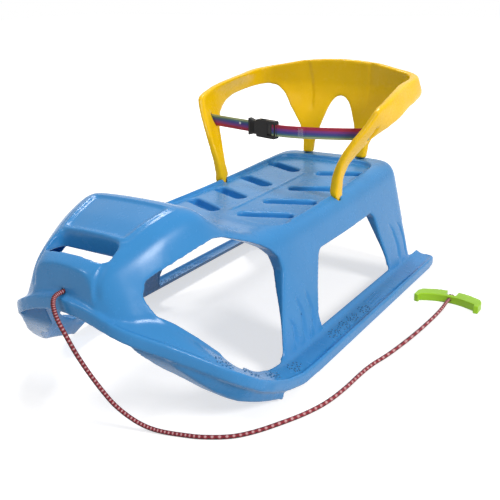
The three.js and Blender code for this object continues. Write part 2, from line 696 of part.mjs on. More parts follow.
// Half of the backrest's outline: walk shares from the rear centre and height shares. The feet end just under
// the deck's skin, where they are trimmed to it.
const footShare = (deckHeight - 2 * wall) / shellTop;
const backOutlineShares = [
  [0, 0.818], [0.032, 0.808], [0.058, 0.786], [0.091, 0.75], [0.115, 0.697], [0.123, 0.658], [0.126, 0.59],
  [0.126, footShare], [0.188, footShare], [0.19, 0.595], [0.247, 0.662], [0.284, 0.705], [0.311, 0.757],
  [0.327, 0.823],
  [0.347, 0.855], [0.395, 0.865], [0.46, 0.861], [0.555, 0.85], [0.66, 0.835], [0.72, 0.815], [0.757, 0.796],
  [0.80, 0.773], [0.865, 0.733], [0.892, 0.69], [0.893, 0.63], [0.905, 0.58], [0.907, footShare],
  [0.98, footShare],
  [0.975, 0.587], [0.98, 0.66], [0.978, 0.70], [0.975, 0.75], [0.966, 0.80], [0.956, 0.837], [0.945, 0.858],
  [0.92, 0.873], [0.885, 0.883], [0.826, 0.901], [0.763, 0.912], [0.64, 0.928], [0.53, 0.94], [0.40, 0.954],
  [0.33, 0.965], [0.27, 0.976], [0.2, 0.986], [0.1, 0.994], [0, 0.998],
];

function backrest() {
  const half = backOutlineShares.map(([walk, height]) =>
    new THREE.Vector2(walk * shellWalk, height * shellTop));
  const other = half.slice(1, -1).toReversed().map((p) => new THREE.Vector2(-p.x, p.y));
  const flat = new THREE.ExtrudeGeometry(new THREE.Shape([...half, ...other]), {
    depth: shellThickness, bevelEnabled: false, steps: 1,
  });
  flat.deleteAttribute('normal');
  flat.deleteAttribute('uv');
  const fine = new TessellateModifier(shellEdgeLength, shellSplitRounds).modify(flat);
  const place = fine.attributes.position;
  for (let i = 0; i < place.count; i += 1) {
    const outwardShare = place.getZ(i) / shellThickness - 1 / 2;
    const p = shellPoint(place.getX(i) / shellWalk, place.getY(i), outwardShare);
    place.setXYZ(i, p.x, p.y, p.z);
  }
  const merged = mergeVertices(fine);
  if (signedVolume(merged.attributes.position.array, merged.index.array) < 0) {
    const index = merged.index.array;
    for (let i = 0; i < index.length; i += 3) [index[i], index[i + 1]] = [index[i + 1], index[i]];
  }
  const deckClear = bodyLoft(-gap, false, 0);
  let shell = toManifold(merged).subtract(deckClear);
  for (const [x, y] of footPlaces) {
    const pegTop = deckHeight + pegRootShare * pegRadius;
    shell = shell.add(upright(pegRadius, deckHeight - pegLength, pegTop, x, y));
  }
  for (const side of [-1, 1]) {
    const slot = new THREE.BoxGeometry(4 * shellThickness, beltSlotThickness, beltSlotWidth);
    slot.applyMatrix4(side < 0 ? beltFrame : nearSlotFrame);
    shell = shell.subtract(toManifold(slot));
  }
  return toGeometry(largestOf(shell));
}

// The belt's straight far half and the buckle share one frame: its X axis runs from the far slot to the buckle
const farSlot = new THREE.Vector3(-beltSlotX, beltSlotY, beltSlotZ);
const buckleEnd = new THREE.Vector3(buckleEndX, buckleEndY, buckleEndZ);
const nearSlot = new THREE.Vector3(beltSlotX, beltSlotY, beltSlotZ);

function frameAlong(from, to) {
  const along = to.clone().sub(from).normalize();
  const across = new THREE.Vector3(0, 0, 1).cross(along).normalize();
  const up = along.clone().cross(across);
  return new THREE.Matrix4().makeBasis(along, across, up).setPosition(from);
}
const beltFrame = frameAlong(farSlot, buckleEnd);
const beltRun = farSlot.distanceTo(buckleEnd);
const nearPath = new THREE.QuadraticBezierCurve3(
  buckleEnd,
  new THREE.Vector3(beltSlotX / 3, buckleEndY - beltWidth / 3, buckleEndZ),
  nearSlot,
);
const nearTurnShare = 0.9;
const nearTurn = nearPath.getPoint(nearTurnShare);
const nearSlotFrame = frameAlong(nearSlot, nearSlot.clone().add(nearSlot.clone().sub(nearTurn)));

// A flat strip of webbing along points, standing on edge, with its own thickness
function webbing(points, thickness, shiftOut = 0) {
  const up = new THREE.Vector3(0, 0, 1);
  const rings = points.map((p, i) => {
    const before = points[Math.max(0, i - 1)];
    const after = points[Math.min(points.length - 1, i + 1)];
    const along = after.clone().sub(before).normalize();
    const across = up.clone().cross(along).normalize();
    const rise = along.clone().cross(across);
    const corner = (side, height) => p.clone()
      .addScaledVector(across, shiftOut + side * thickness / 2)
      .addScaledVector(rise, height * beltWidth / 2);
    return [corner(-1, -1), corner(1, -1), corner(1, 1), corner(-1, 1)];
  });
  return loft(rings);
}

const plugStart = beltRun - plugLength;
const socketStart = beltRun - socketLength;
const mouthX = socketStart;

function alongBelt(distance) {
  return new THREE.Vector3(distance, 0, 0).applyMatrix4(beltFrame);
}

function beltFar() {
  const hemEnd = -beltHemGap - beltHemLength;
  const strap = webbing([alongBelt(hemEnd + beltHemLength / 2), alongBelt(plugStart - gap)], beltThickness);
  const hem = webbing([alongBelt(hemEnd), alongBelt(-beltHemGap)], beltHemThickness);
  return toGeometry(largestOf(strap.add(hem)));
}

const nearSteps = 12;

// The near half ends in its slot, where a folded hem fills the slot's width
function beltNear() {
  const points = [];
  for (let i = 0; i <= nearSteps; i += 1) points.push(nearPath.getPoint(i / nearSteps));
  points[0] = alongBelt(beltRun + beltThickness);
  const outward = nearSlot.clone().sub(nearTurn).normalize();
  points.push(nearSlot.clone().addScaledVector(outward, beltHemLength / 2));
  const strap = webbing(points, beltThickness);
  const hem = webbing(points.slice(-2), beltSlotThickness - 2 * gap);
  return toGeometry(largestOf(strap.add(hem)));
}

// The free tail of the webbing, lying against the front of the near half
function beltTail() {
  const points = [];
  for (let i = 0; i <= nearSteps; i += 1) {
    const p = nearPath.getPoint(i / nearSteps);
    if (p.x < tailEndX) points.push(p);
  }
  points[0] = alongBelt(beltRun + beltThickness);
  return toGeometry(webbing(points, beltThickness, -beltThickness - gap));
}

function beltRivet() {
  const bar = roundBar(rivetRadius, rivetRadius / 2, 12);
  bar.translate(rivetDistance, -beltThickness / 2 - gap - rivetRadius / 4, beltWidth / 8);
  bar.applyMatrix4(beltFrame);
  return bar;
}

// Buckle pieces, made in the belt's frame
function inBeltFrame(manifold) {
  const geometry = toGeometry(manifold);
  geometry.applyMatrix4(beltFrame);
  return geometry;
}

const plugHeightShare = 0.77;
const plugDepthShare = 0.8;

function bucklePlug() {
  const [earHalf, neckHalf] = [buckleHeight / 2, buckleHeight * plugHeightShare / 2];
  const ears = roundedOutline([
    new THREE.Vector2(plugStart, -earHalf), new THREE.Vector2(plugStart + earLength, -neckHalf),
    new THREE.Vector2(mouthX - gap, -neckHalf), new THREE.Vector2(mouthX - gap, neckHalf),
    new THREE.Vector2(plugStart + earLength, neckHalf), new THREE.Vector2(plugStart, earHalf),
  ], buckleShell);
  const base = raised(ears, -buckleDepth * plugDepthShare / 2, buckleDepth * plugDepthShare / 2);
  const tongueStart = mouthX - earLength / 2;
  const tongue = box(prongLength, prongDepth, tongueHeight, tongueStart + prongLength / 2, 0, 0);
  const turned = toGeometry(base);
  turned.applyMatrix4(new THREE.Matrix4().makeRotationX(Math.PI / 2));
  return inBeltFrame(toManifold(turned).add(tongue));
}

const prongRoot = mouthX + gap;
const prongCentre = buckleHeight / 2 - buckleShell - prongHeight / 2 - 2 * gap;

function bucklePronged(side) {
  const start = prongRoot;
  return inBeltFrame(box(prongLength, prongDepth, prongHeight, start + prongLength / 2, 0, side * prongCentre));
}

const sideGapLengthShare = 0.6;
const sideGapPlaceShare = 0.75;

function buckleSocket() {
  const outer = roundedOutline([
    new THREE.Vector2(mouthX, -buckleHeight / 2), new THREE.Vector2(beltRun, -buckleHeight / 2),
    new THREE.Vector2(beltRun, buckleHeight / 2), new THREE.Vector2(mouthX, buckleHeight / 2),
  ], 2 * buckleShell);
  const turned = toGeometry(raised(outer, -buckleDepth / 2, buckleDepth / 2));
  turned.applyMatrix4(new THREE.Matrix4().makeRotationX(Math.PI / 2));
  const cavityLength = prongLength + 2 * buckleShell;
  const cavity = box(cavityLength + overrun, buckleDepth - 2 * buckleShell, buckleHeight - 2 * buckleShell,
    mouthX + (cavityLength - overrun) / 2, 0, 0);
  const sideGap = box(prongLength * sideGapLengthShare, buckleDepth - 2 * buckleShell, buckleHeight + overrun,
    mouthX + prongLength * sideGapPlaceShare, 0, 0);
  const barX = mouthX + cavityLength + (socketLength - cavityLength) / 2;
  const barWindowLength = socketLength - cavityLength - 3 * buckleShell;
  const barWindow = box(barWindowLength, buckleDepth + overrun, beltWidth + 2 * gap, barX, 0, 0);
  const bar = box(2 * barRadius, buckleDepth / 2, buckleHeight - buckleShell, barX, 0, 0);
  return inBeltFrame(toManifold(turned).subtract(cavity).subtract(sideGap).subtract(barWindow).add(bar));
}

// The pull cord: out of the nose, down to the ground in a sagging run, and along it to the grip
const cordRoute = [
  [0, -381, 192], [0, -392, 192], [0, -403, 191.6], [1, -409, 187], [3, -411, 177], [6, -410, 163], [11, -405, 143],
  [18, -400, 120], [25, -394, 99], [33, -388, 79], [42, -382, 60], [52, -376, 42], [64, -368, 26], [78, -360, 13],
  [94, -353, 5.5], [112, -347, 3.2], [134, -340, 3.2], [155, -333, 3.2], [188, -313, 3.2], [208, -288, 3.2],
  [227, -253, 3.2], [244, -217, 3.2], [256, -178, 3.2], [261, -130, 3.2], [262, -92, 3.2], [265, -54, 3.2],
  [275, -11, 3.2], [285, 70, 3.2], [290, 150, 3.2], [291, 188, 4.5], [291, 208, 7], [291, 219, 7], [291, 230, 7],
];
const cordSides = 10;
const cordSteps = 78;

function pullCord() {
  const places = cordRoute.map((p) => new THREE.Vector3(...p));
  const path = new THREE.CatmullRomCurve3(places, false, 'centripetal');
  const section = new THREE.Shape();
  for (let i = 0; i < cordSides; i += 1) {
    const turn = (i / cordSides) * 2 * Math.PI;
    const point = [Math.cos(turn) * cordDiameter / 2, Math.sin(turn) * cordDiameter / 2];
    if (i === 0) section.moveTo(...point);
    else section.lineTo(...point);
  }
  section.closePath();
  return new THREE.ExtrudeGeometry(section, { extrudePath: path, steps: cordSteps, bevelEnabled: false });
}

function knot(radius, squash) {
  const ball = new THREE.SphereGeometry(radius, 14, 10);
  ball.scale(1, squash, 1);
  return ball;
}
const knotSquash = 0.8;

// The grip: a bowed bar with hooked ends, a ridged back edge and a hole for the cord
const handleKnotShare = 0.8;
const handleSteps = 10;
const ridgedShare = 0.75;
const handleFrontShare = 0.93;
const hookOutShare = 0.2;
const hookTopShare = 0.1;
const hookTipShares = [0.5, 0.4];

function pullHandle() {
  const half = handleLength / 2;
  const steps = handleSteps;
  const back = [];
  const front = [];
  for (let i = -steps; i <= steps; i += 1) {
    const share = i / steps;
    const bow = handleBow * (1 - share * share);
    const ridge = Math.abs(share) < ridgedShare && i % 2 === 0 ? handleRidge : 0;
    back.push(new THREE.Vector2(share * half, bow + handleWidth / 2 + ridge));
    front.push(new THREE.Vector2(share * half * handleFrontShare, bow - handleWidth / 2));
  }
  const hookX = half + handleWidth * hookOutShare;
  const [innerTip, outerTip] = hookTipShares.map((share) => -handleWidth / 2 - handleHook * share);
  const hooks = [-1, 1].map((side) => [
    new THREE.Vector2(side * half * handleFrontShare, innerTip),
    new THREE.Vector2(side * hookX, outerTip),
    new THREE.Vector2(side * hookX, handleWidth * hookTopShare),
  ]);
  const outline = [...back, ...hooks[1].toReversed(), ...front.toReversed(), ...hooks[0]];
  const bar = raised(new THREE.Shape(outline), 0, handleThickness);
  const hole = roundBar(cordDiameter / 2 + gap, 4 * handleWidth, 12);
  hole.translate(0, 0, handleThickness / 2);
  const pocketStart = handleBow - handleWidth / 2 + handleFrontWall;
  const pocket = box(3 * knotRadius * handleKnotShare, handleWidth, handleThickness + overrun,
    0, pocketStart + handleWidth / 2, 0);
  const geometry = toGeometry(bar.subtract(toManifold(hole)).subtract(pocket));
  return geometry;
}

function mesh(name, geometry, material, position = [0, 0, 0]) {
  const piece = new THREE.Mesh(geometry, material);
  piece.name = name;
  piece.position.set(...position);
  return piece;
}

const blue = plastic(0x4a90d0, 0.35);
const yellow = plastic(0xf2c500, 0.35);
const black = plastic(0x111111, 0.4);
const lime = plastic(0x86c51c, 0.45);
const webbingColour = new THREE.MeshStandardMaterial({ color: 0x553a70, roughness: 0.9, metalness: 0 });
const cordColour = new THREE.MeshStandardMaterial({ color: 0x7a2a33, roughness: 0.9, metalness: 0 });
const white = plastic(0xe8e8ee, 0.6);

const sled = new THREE.Group();
sled.add(mesh('sled_body', toGeometry(sledBody()), blue));
sled.add(mesh('backrest', backrest(), yellow));
sled.add(mesh('belt_far', beltFar(), webbingColour));
sled.add(mesh('belt_near', beltNear(), webbingColour));
sled.add(mesh('belt_tail', beltTail(), webbingColour));
sled.add(mesh('belt_rivet', beltRivet(), white));
sled.add(mesh('buckle_plug', bucklePlug(), black));
sled.add(mesh('buckle_prong_upper', bucklePronged(1), black));
sled.add(mesh('buckle_prong_lower', bucklePronged(-1), black));
sled.add(mesh('buckle_socket', buckleSocket(), black));
sled.add(mesh('pull_cord', pullCord(), cordColour));
const innerKnotY = cordRoute[0][1] + gap + knotRadius * knotSquash;
sled.add(mesh('cord_knot_inner', knot(knotRadius, knotSquash), cordColour, [0, innerKnotY, cordHoleHeight]));
const cordEnd = cordRoute.at(-1);
const handleKnotY = cordEnd[1] + gap + knotRadius * handleKnotShare * knotSquash;
const handlePlaceY = cordEnd[1] - gap - handleFrontWall + handleWidth / 2 - handleBow;
sled.add(mesh('cord_knot_handle', knot(knotRadius * handleKnotShare, knotSquash), cordColour,
  [cordEnd[0], handleKnotY, cordEnd[2]]));
sled.add(mesh('pull_handle', pullHandle(), lime, [handleX, handlePlaceY, 0]));

export default sled;
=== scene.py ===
"""Toddler sled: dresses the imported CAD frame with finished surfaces, webbing, buckle, cord and grip."""
import math
import random

import bmesh
import bpy
import numpy as np
from mathutils import Matrix, Vector, kdtree


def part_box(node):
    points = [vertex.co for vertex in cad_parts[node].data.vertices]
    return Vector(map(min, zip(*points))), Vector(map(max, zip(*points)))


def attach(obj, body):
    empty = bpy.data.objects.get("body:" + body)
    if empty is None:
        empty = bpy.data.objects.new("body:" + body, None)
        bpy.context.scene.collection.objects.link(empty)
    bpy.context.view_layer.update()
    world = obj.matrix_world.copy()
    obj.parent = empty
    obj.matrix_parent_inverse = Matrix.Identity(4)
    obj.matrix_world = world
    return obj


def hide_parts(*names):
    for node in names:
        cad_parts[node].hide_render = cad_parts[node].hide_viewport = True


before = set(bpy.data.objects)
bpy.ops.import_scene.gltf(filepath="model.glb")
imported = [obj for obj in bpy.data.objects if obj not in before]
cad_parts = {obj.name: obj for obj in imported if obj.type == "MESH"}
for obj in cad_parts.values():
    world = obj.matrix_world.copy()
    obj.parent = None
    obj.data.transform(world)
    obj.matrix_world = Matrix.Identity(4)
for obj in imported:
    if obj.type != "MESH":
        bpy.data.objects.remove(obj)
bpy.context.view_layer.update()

FULL_TURN = 2 * math.pi
UP = Vector((0, 0, 1))
DOWN = Vector((0, 0, -1))

# Places that the CAD model also names. All lengths in this file are in metres.
CORD_DIAMETER = 0.006
CORD_ROUTE = [
    (0, -0.381, 0.192), (0, -0.392, 0.192), (0, -0.403, 0.1916), (0.001, -0.409, 0.187),
    (0.003, -0.411, 0.177), (0.006, -0.410, 0.163), (0.011, -0.405, 0.143), (0.018, -0.400, 0.120),
    (0.025, -0.394, 0.099), (0.033, -0.388, 0.079), (0.042, -0.382, 0.060), (0.052, -0.376, 0.042),
    (0.064, -0.368, 0.026), (0.078, -0.360, 0.013), (0.094, -0.353, 0.0055), (0.112, -0.347, 0.0032),
    (0.134, -0.340, 0.0032), (0.155, -0.333, 0.0032), (0.188, -0.313, 0.0032), (0.208, -0.288, 0.0032),
    (0.227, -0.253, 0.0032), (0.244, -0.217, 0.0032), (0.256, -0.178, 0.0032), (0.261, -0.130, 0.0032),
    (0.262, -0.092, 0.0032), (0.265, -0.054, 0.0032), (0.275, -0.011, 0.0032), (0.285, 0.070, 0.0032),
    (0.290, 0.150, 0.0032), (0.291, 0.188, 0.0045), (0.291, 0.208, 0.007), (0.291, 0.219, 0.007),
    (0.291, 0.230, 0.007),
]
BELT_WIDTH = 0.020
BELT_THICKNESS = 0.0016
BELT_GAP = 0.0003
FAR_SLOT = Vector((-0.158, 0.157, 0.300))
NEAR_SLOT = Vector((0.158, 0.157, 0.300))
BUCKLE_END = Vector((-0.005, 0.134, 0.2965))
NEAR_BEND = Vector((0.05267, 0.12733, 0.2965))
PLUG_LENGTH = 0.062
SOCKET_LENGTH = 0.043
HEM_GAP = 0.009
HEM_LENGTH = 0.009
HEM_THICKNESS = 0.005


# ---- Material helpers ---------------------------------------------------------------------------

class Nodes:
    """A small wrapper that adds and links shader nodes."""

    def __init__(self, material):
        material.use_nodes = True
        self.tree = material.node_tree
        self.shader = self.tree.nodes["Principled BSDF"]

    def add(self, kind, **settings):
        node = self.tree.nodes.new(kind)
        for name, value in settings.items():
            if hasattr(node, name):
                setattr(node, name, value)
            else:
                node.inputs[name].default_value = value
        return node

    def link(self, output, target):
        self.tree.links.new(output, target)

    def math(self, operation, *values):
        node = self.add("ShaderNodeMath", operation=operation)
        for socket, value in zip(node.inputs, values):
            if isinstance(value, (int, float)):
                socket.default_value = value
            else:
                self.link(value, socket)
        return node.outputs[0]

    def wave(self, place, turns):
        """The sine of a place, with so many turns for each unit of it."""
        return self.math("SINE", self.math("MULTIPLY", place, FULL_TURN * turns))

    def ramp(self, factor, stops):
        node = self.add("ShaderNodeValToRGB")
        elements = node.color_ramp.elements
        while len(elements) < len(stops):
            elements.new(0.5)
        for element, (place, colour) in zip(elements, stops):
            element.position = place
            element.color = (*colour, 1)
        self.link(factor, node.inputs["Fac"])
        return node.outputs["Color"]

    def noise(self, coordinates, scale, detail=3, roughness=0.5):
        node = self.add("ShaderNodeTexNoise", Scale=scale, Detail=detail, Roughness=roughness)
        self.link(coordinates, node.inputs["Vector"])
        return node.outputs["Fac"]

    def bump(self, height, strength, distance):
        node = self.add("ShaderNodeBump", Strength=strength, Distance=distance)
        self.link(height, node.inputs["Height"])
        self.link(node.outputs["Normal"], self.shader.inputs["Normal"])


def shade(colour, factor):
    return tuple(min(1, c * factor) for c in colour)


TONE_DRIFT_SCALE = 9
TONE_SHARES = (0.95, 1.04)
SCUFF_SCALE = 60
GLOSS_CHANGES = (-0.03, 0.06)
SKIN_SCALE = 900
SKIN_STRENGTH = 0.3
SKIN_HEIGHT = 0.00002


def moulded_plastic(name, colour, roughness, specular=0.45):
    """Injection-moulded plastic: faint tone drift, a fine skin and uneven gloss."""
    material = bpy.data.materials.new(name)
    nodes = Nodes(material)
    place = nodes.add("ShaderNodeTexCoord").outputs["Object"]
    drift = nodes.noise(place, TONE_DRIFT_SCALE, detail=4)
    deep, pale = (shade(colour, share) for share in TONE_SHARES)
    nodes.link(nodes.ramp(drift, [(0.3, deep), (0.7, pale)]), nodes.shader.inputs["Base Color"])
    scuffs = nodes.noise(place, SCUFF_SCALE, detail=5, roughness=0.6)
    glossy, dull = ((roughness + change,) * 3 for change in GLOSS_CHANGES)
    nodes.link(nodes.ramp(scuffs, [(0.35, glossy), (0.75, dull)]), nodes.shader.inputs["Roughness"])
    nodes.shader.inputs["Specular IOR Level"].default_value = specular
    nodes.bump(nodes.noise(place, SKIN_SCALE, detail=2), SKIN_STRENGTH, SKIN_HEIGHT)
    return material


SLED_BLUE = (0.042, 0.258, 0.590)
BACKREST_YELLOW = (0.960, 0.570, 0.002)
GRIP_LIME = (0.330, 0.610, 0.012)
BUCKLE_BLACK = (0.004, 0.004, 0.0045)
STITCH_WHITE = (0.72, 0.72, 0.74)
# Painted shade: the pips are the body's own blue plastic, painted at half its brightness for the shade
# round each small bump
PIP_PAINTED_SHADE_BLUE = shade(SLED_BLUE, 0.5)

blue_plastic = moulded_plastic("sled_blue_plastic", SLED_BLUE, roughness=0.25, specular=0.28)
yellow_plastic = moulded_plastic("backrest_yellow_plastic", BACKREST_YELLOW, roughness=0.26,
                                 specular=0.25)
lime_plastic = moulded_plastic("grip_lime_plastic", GRIP_LIME, roughness=0.38)
black_plastic = moulded_plastic("buckle_black_plastic", BUCKLE_BLACK, roughness=0.36, specular=0.25)
stitch_white = moulded_plastic("belt_stitch_white", STITCH_WHITE, roughness=0.6)
pip_painted_shade_blue = moulded_plastic("foot_rest_pip_painted_shade_blue", PIP_PAINTED_SHADE_BLUE, roughness=0.34)


# ---- Camera -------------------------------------------------------------------------------------

CAMERA_PLACE = Vector((0.6398, -0.96072, 0.54504))
CAMERA_YAW, CAMERA_PITCH, CAMERA_ROLL = (math.radians(a) for a in (32.8, 20.25, -1.26))
FOCAL_PIXELS = 736.52
FRAME_PIXELS = 500
SENSOR_WIDTH = 36

camera_data = bpy.data.cameras.new("camera")
camera_data.sensor_width = SENSOR_WIDTH
camera_data.sensor_fit = "HORIZONTAL"
camera_data.lens = FOCAL_PIXELS / FRAME_PIXELS * SENSOR_WIDTH
camera = bpy.data.objects.new("camera", camera_data)
bpy.context.collection.objects.link(camera)
ahead = Vector((-math.sin(CAMERA_YAW) * math.cos(CAMERA_PITCH),
                math.cos(CAMERA_YAW) * math.cos(CAMERA_PITCH),
                -math.sin(CAMERA_PITCH)))
level = Vector((math.cos(CAMERA_YAW), math.sin(CAMERA_YAW), 0))
above = level.cross(ahead)
right = level * math.cos(CAMERA_ROLL) + above * math.sin(CAMERA_ROLL)
up = -level * math.sin(CAMERA_ROLL) + above * math.cos(CAMERA_ROLL)
turned = Matrix((right, up, -ahead)).transposed().to_4x4()
camera.matrix_world = Matrix.Translation(CAMERA_PLACE) @ turned
bpy.context.scene.camera = camera


# ---- Mesh helpers -------------------------------------------------------------------------------

MERGE_DISTANCE = 0.00002
SHARP_ANGLE = math.radians(32)
EDGE_POINT_SPACING = 0.003
EDGE_SOFTENING = 0.5
FACE_SOFTENING = 0.6
# Open ends for ranges that within() takes
NO_START = (-2, -1)
NO_END = (1, 2)


def fade(values, start, end):
    """A smooth step from 0 at the start to 1 at the end."""
    share = np.clip((values - start) / (end - start), 0, 1)
    return share * share * (3 - 2 * share)


def within(values, start, full_start, full_end, end):
    """1 between the two full values and 0 outside the range, with smooth steps."""
    return fade(values, start, full_start) * (1 - fade(values, full_end, end))


def groove(offset, beyond=1.0, before=1.0):
    """1 on the line of a groove and 0 a half width away; a factor makes that flank steeper."""
    return 1 - fade(np.abs(np.where(offset > 0, offset * beyond, offset * before)), 0, 1)


def shade_smooth(obj):
    for polygon in obj.data.polygons:
        polygon.use_smooth = True


def linked(name, bm, material=None):
    """Turns a bmesh into a smooth-shaded object whose place is in its mesh."""
    mesh = bpy.data.meshes.new(name)
    bmesh.ops.recalc_face_normals(bm, faces=bm.faces)
    bm.to_mesh(mesh)
    bm.free()
    obj = bpy.data.objects.new(name, mesh)
    bpy.context.collection.objects.link(obj)
    if material:
        mesh.materials.append(material)
    shade_smooth(obj)
    return obj


def merged_mesh(node_name):
    """A CAD node as a bmesh with its loose triangles joined."""
    bm = bmesh.new()
    bm.from_mesh(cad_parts[node_name].data)
    bmesh.ops.remove_doubles(bm, verts=bm.verts, dist=MERGE_DISTANCE)
    return bm


def merged_copy(node_name, name, flat_angle=None):
    """A merged copy of a CAD node; with a flat angle, its flat faces are made whole."""
    bm = merged_mesh(node_name)
    if flat_angle:
        bmesh.ops.dissolve_limit(bm, angle_limit=flat_angle, verts=bm.verts, edges=bm.edges)
    obj = linked(name, bm)
    if "custom_normal" in obj.data.attributes:
        obj.data.attributes.remove(obj.data.attributes["custom_normal"])
    return obj


def kept_copy(obj):
    copy = bpy.data.objects.new(obj.name + "_before", obj.data.copy())
    bpy.context.collection.objects.link(copy)
    return copy


def bake_modifiers(obj):
    depsgraph = bpy.context.evaluated_depsgraph_get()
    shaped = bpy.data.meshes.new_from_object(obj.evaluated_get(depsgraph))
    obj.modifiers.clear()
    obj.data = shaped


def places_of(obj):
    places = np.zeros(len(obj.data.vertices) * 3)
    obj.data.vertices.foreach_get("co", places)
    return places.reshape(-1, 3)


def put_places(obj, places):
    obj.data.vertices.foreach_set("co", places.ravel())
    obj.data.update()


def sharp_edge_points(node_name):
    """Points along the sharp edges of a CAD node."""
    bm = merged_mesh(node_name)
    points = []
    for edge in bm.edges:
        if edge.calc_face_angle(math.pi) > SHARP_ANGLE:
            steps = max(1, math.ceil(edge.calc_length() / EDGE_POINT_SPACING))
            points += [edge.verts[0].co.lerp(edge.verts[1].co, i / steps) for i in range(steps + 1)]
    bm.free()
    return points


def clear_of(edge_points, places, near, far):
    """For each place, 0 near a sharp edge and 1 far from it."""
    tree = kdtree.KDTree(len(edge_points))
    for i, point in enumerate(edge_points):
        tree.insert(point, i)
    tree.balance()
    return fade(np.array([tree.find(place)[2] for place in places]), near, far)


def soften(obj, give, rounds):
    """Moves every vertex towards the middle of its neighbours by its share, again and again."""
    mesh = obj.data
    places = places_of(obj)
    give = np.full(len(places), give) if isinstance(give, float) else give
    pairs = np.zeros(len(mesh.edges) * 2, dtype=np.int64)
    mesh.edges.foreach_get("vertices", pairs)
    pairs = pairs.reshape(-1, 2)
    near = (give[pairs] > 0).any(axis=1)
    used, pairs = np.unique(pairs[near], return_inverse=True)
    first, second = pairs.reshape(-1, 2).T
    count = len(used)
    neighbours = np.bincount(first, minlength=count) + np.bincount(second, minlength=count)
    moving, share = places[used], give[used]
    for _ in range(rounds):
        for axis in range(3):
            column = moving[:, axis]
            total = (np.bincount(first, weights=column[second], minlength=count)
                     + np.bincount(second, weights=column[first], minlength=count))
            moving[:, axis] = column + share * (total / neighbours - column)
    places[used] = moving
    put_places(obj, places)


def push(obj, depth_at):
    """Moves every vertex along its own normal by depth_at(places, normals)."""
    places = places_of(obj)
    normals = np.zeros(len(obj.data.vertices) * 3)
    obj.data.vertex_normals.foreach_get("vector", normals)
    normals = normals.reshape(-1, 3)
    put_places(obj, places + normals * depth_at(places, normals)[:, None])


def moulded_skin(node_name, name, voxel, edge_rounds, near, far, face_rounds, backing=None):
    """A dense, softly rounded copy of a CAD node: every edge gets the small radius of a moulding.

    Edges get edge_rounds of softening. Faces get face_rounds more, from near to far off an edge.
    """
    obj = merged_copy(node_name, name)
    if backing:
        bm = bmesh.new()
        bm.from_mesh(obj.data)
        backing(bm)
        bm.to_mesh(obj.data)
        bm.free()
    exact = kept_copy(obj)
    remesh = obj.modifiers.new("even_skin", "REMESH")
    remesh.mode = "VOXEL"
    remesh.voxel_size = voxel
    remesh.use_smooth_shade = True
    bake_modifiers(obj)
    wrap = obj.modifiers.new("onto_exact_shape", "SHRINKWRAP")
    wrap.target = exact
    bake_modifiers(obj)
    bpy.data.objects.remove(exact)
    soften(obj, EDGE_SOFTENING, edge_rounds)
    free = clear_of(sharp_edge_points(node_name), places_of(obj), near, far)
    soften(obj, free * FACE_SOFTENING, face_rounds)
    return obj


def thin_to(obj, triangles):
    """Thins a dense mesh to about so many triangles, which keep the dense mesh's normals."""
    now = sum(len(polygon.vertices) - 2 for polygon in obj.data.polygons)
    dense = kept_copy(obj)
    thin = obj.modifiers.new("thinner_mesh", "DECIMATE")
    thin.ratio = min(1, triangles / now)
    bake_modifiers(obj)
    shade_smooth(obj)
    smooth = obj.modifiers.new("normals_of_dense_mesh", "DATA_TRANSFER")
    smooth.object = dense
    smooth.use_loop_data = True
    smooth.data_types_loops = {"CUSTOM_NORMAL"}
    smooth.loop_mapping = "POLYINTERP_NEAREST"
    bake_modifiers(obj)
    bpy.data.objects.remove(dense)


def carry(obj, node_name, body, replaces=True):
    """Lets a piece ride on its body and, where asked, stand in its node's stead."""
    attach(obj, body)
    if replaces:
        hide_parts(node_name)


def dress(obj, node_name, body, material, replaces=True):
    obj.data.materials.clear()
    obj.data.materials.append(material)
    carry(obj, node_name, body, replaces)


def add_eased_bar(bm, matrix, size, radius):
    """Adds a small bar with rounded edges."""
    made = bmesh.ops.create_cube(bm, size=1, matrix=matrix @ Matrix.Diagonal((*size, 1)))
    edges = {edge for vertex in made["verts"] for edge in vertex.link_edges}
    bmesh.ops.bevel(bm, geom=list(edges), offset=radius, affect="EDGES", segments=2, profile=0.5,
                    material=-1)


def turned_to(direction):
    """The turn that points a shape's own upright along a direction."""
    return direction.to_track_quat("Z", "Y").to_matrix().to_4x4()


# ---- Cord, its knots and the grip ---------------------------------------------------------------

# Turns of the braid's pattern along and around a cord
CORD_BRAID_TURNS = (62, 1)
KNOT_BRAID_TURNS = (9, 3)
BRAID_COLOURS = [(0.26, (0.010, 0.003, 0.004)), (0.40, (0.20, 0.010, 0.020)),
                 (0.72, (0.30, 0.016, 0.030)), (0.94, (0.62, 0.36, 0.36))]
BRAID_STRENGTH = 0.8
BRAID_HEIGHT = 0.0006


def braided_cord(name, along_turns, around_turns):
    """Two-colour braid on the curve's own UV: dark red yarn with dark and pale flecks."""
    material = bpy.data.materials.new(name)
    nodes = Nodes(material)
    split = nodes.add("ShaderNodeSeparateXYZ")
    nodes.link(nodes.add("ShaderNodeTexCoord").outputs["UV"], split.inputs[0])
    along = nodes.math("MULTIPLY", split.outputs["X"], FULL_TURN * along_turns)
    around = nodes.math("MULTIPLY", split.outputs["Y"], FULL_TURN * around_turns)
    left_hand = nodes.math("SINE", nodes.math("ADD", along, around))
    right_hand = nodes.math("SINE", nodes.math("SUBTRACT", along, around))
    weave = nodes.math("MULTIPLY", left_hand, right_hand)
    colour = nodes.ramp(nodes.math("MULTIPLY_ADD", weave, 0.5, 0.5), BRAID_COLOURS)
    nodes.link(colour, nodes.shader.inputs["Base Color"])
    nodes.shader.inputs["Roughness"].default_value = 0.85
    nodes.shader.inputs["Sheen Weight"].default_value = 0.15
    nodes.bump(weave, BRAID_STRENGTH, BRAID_HEIGHT)
    return material


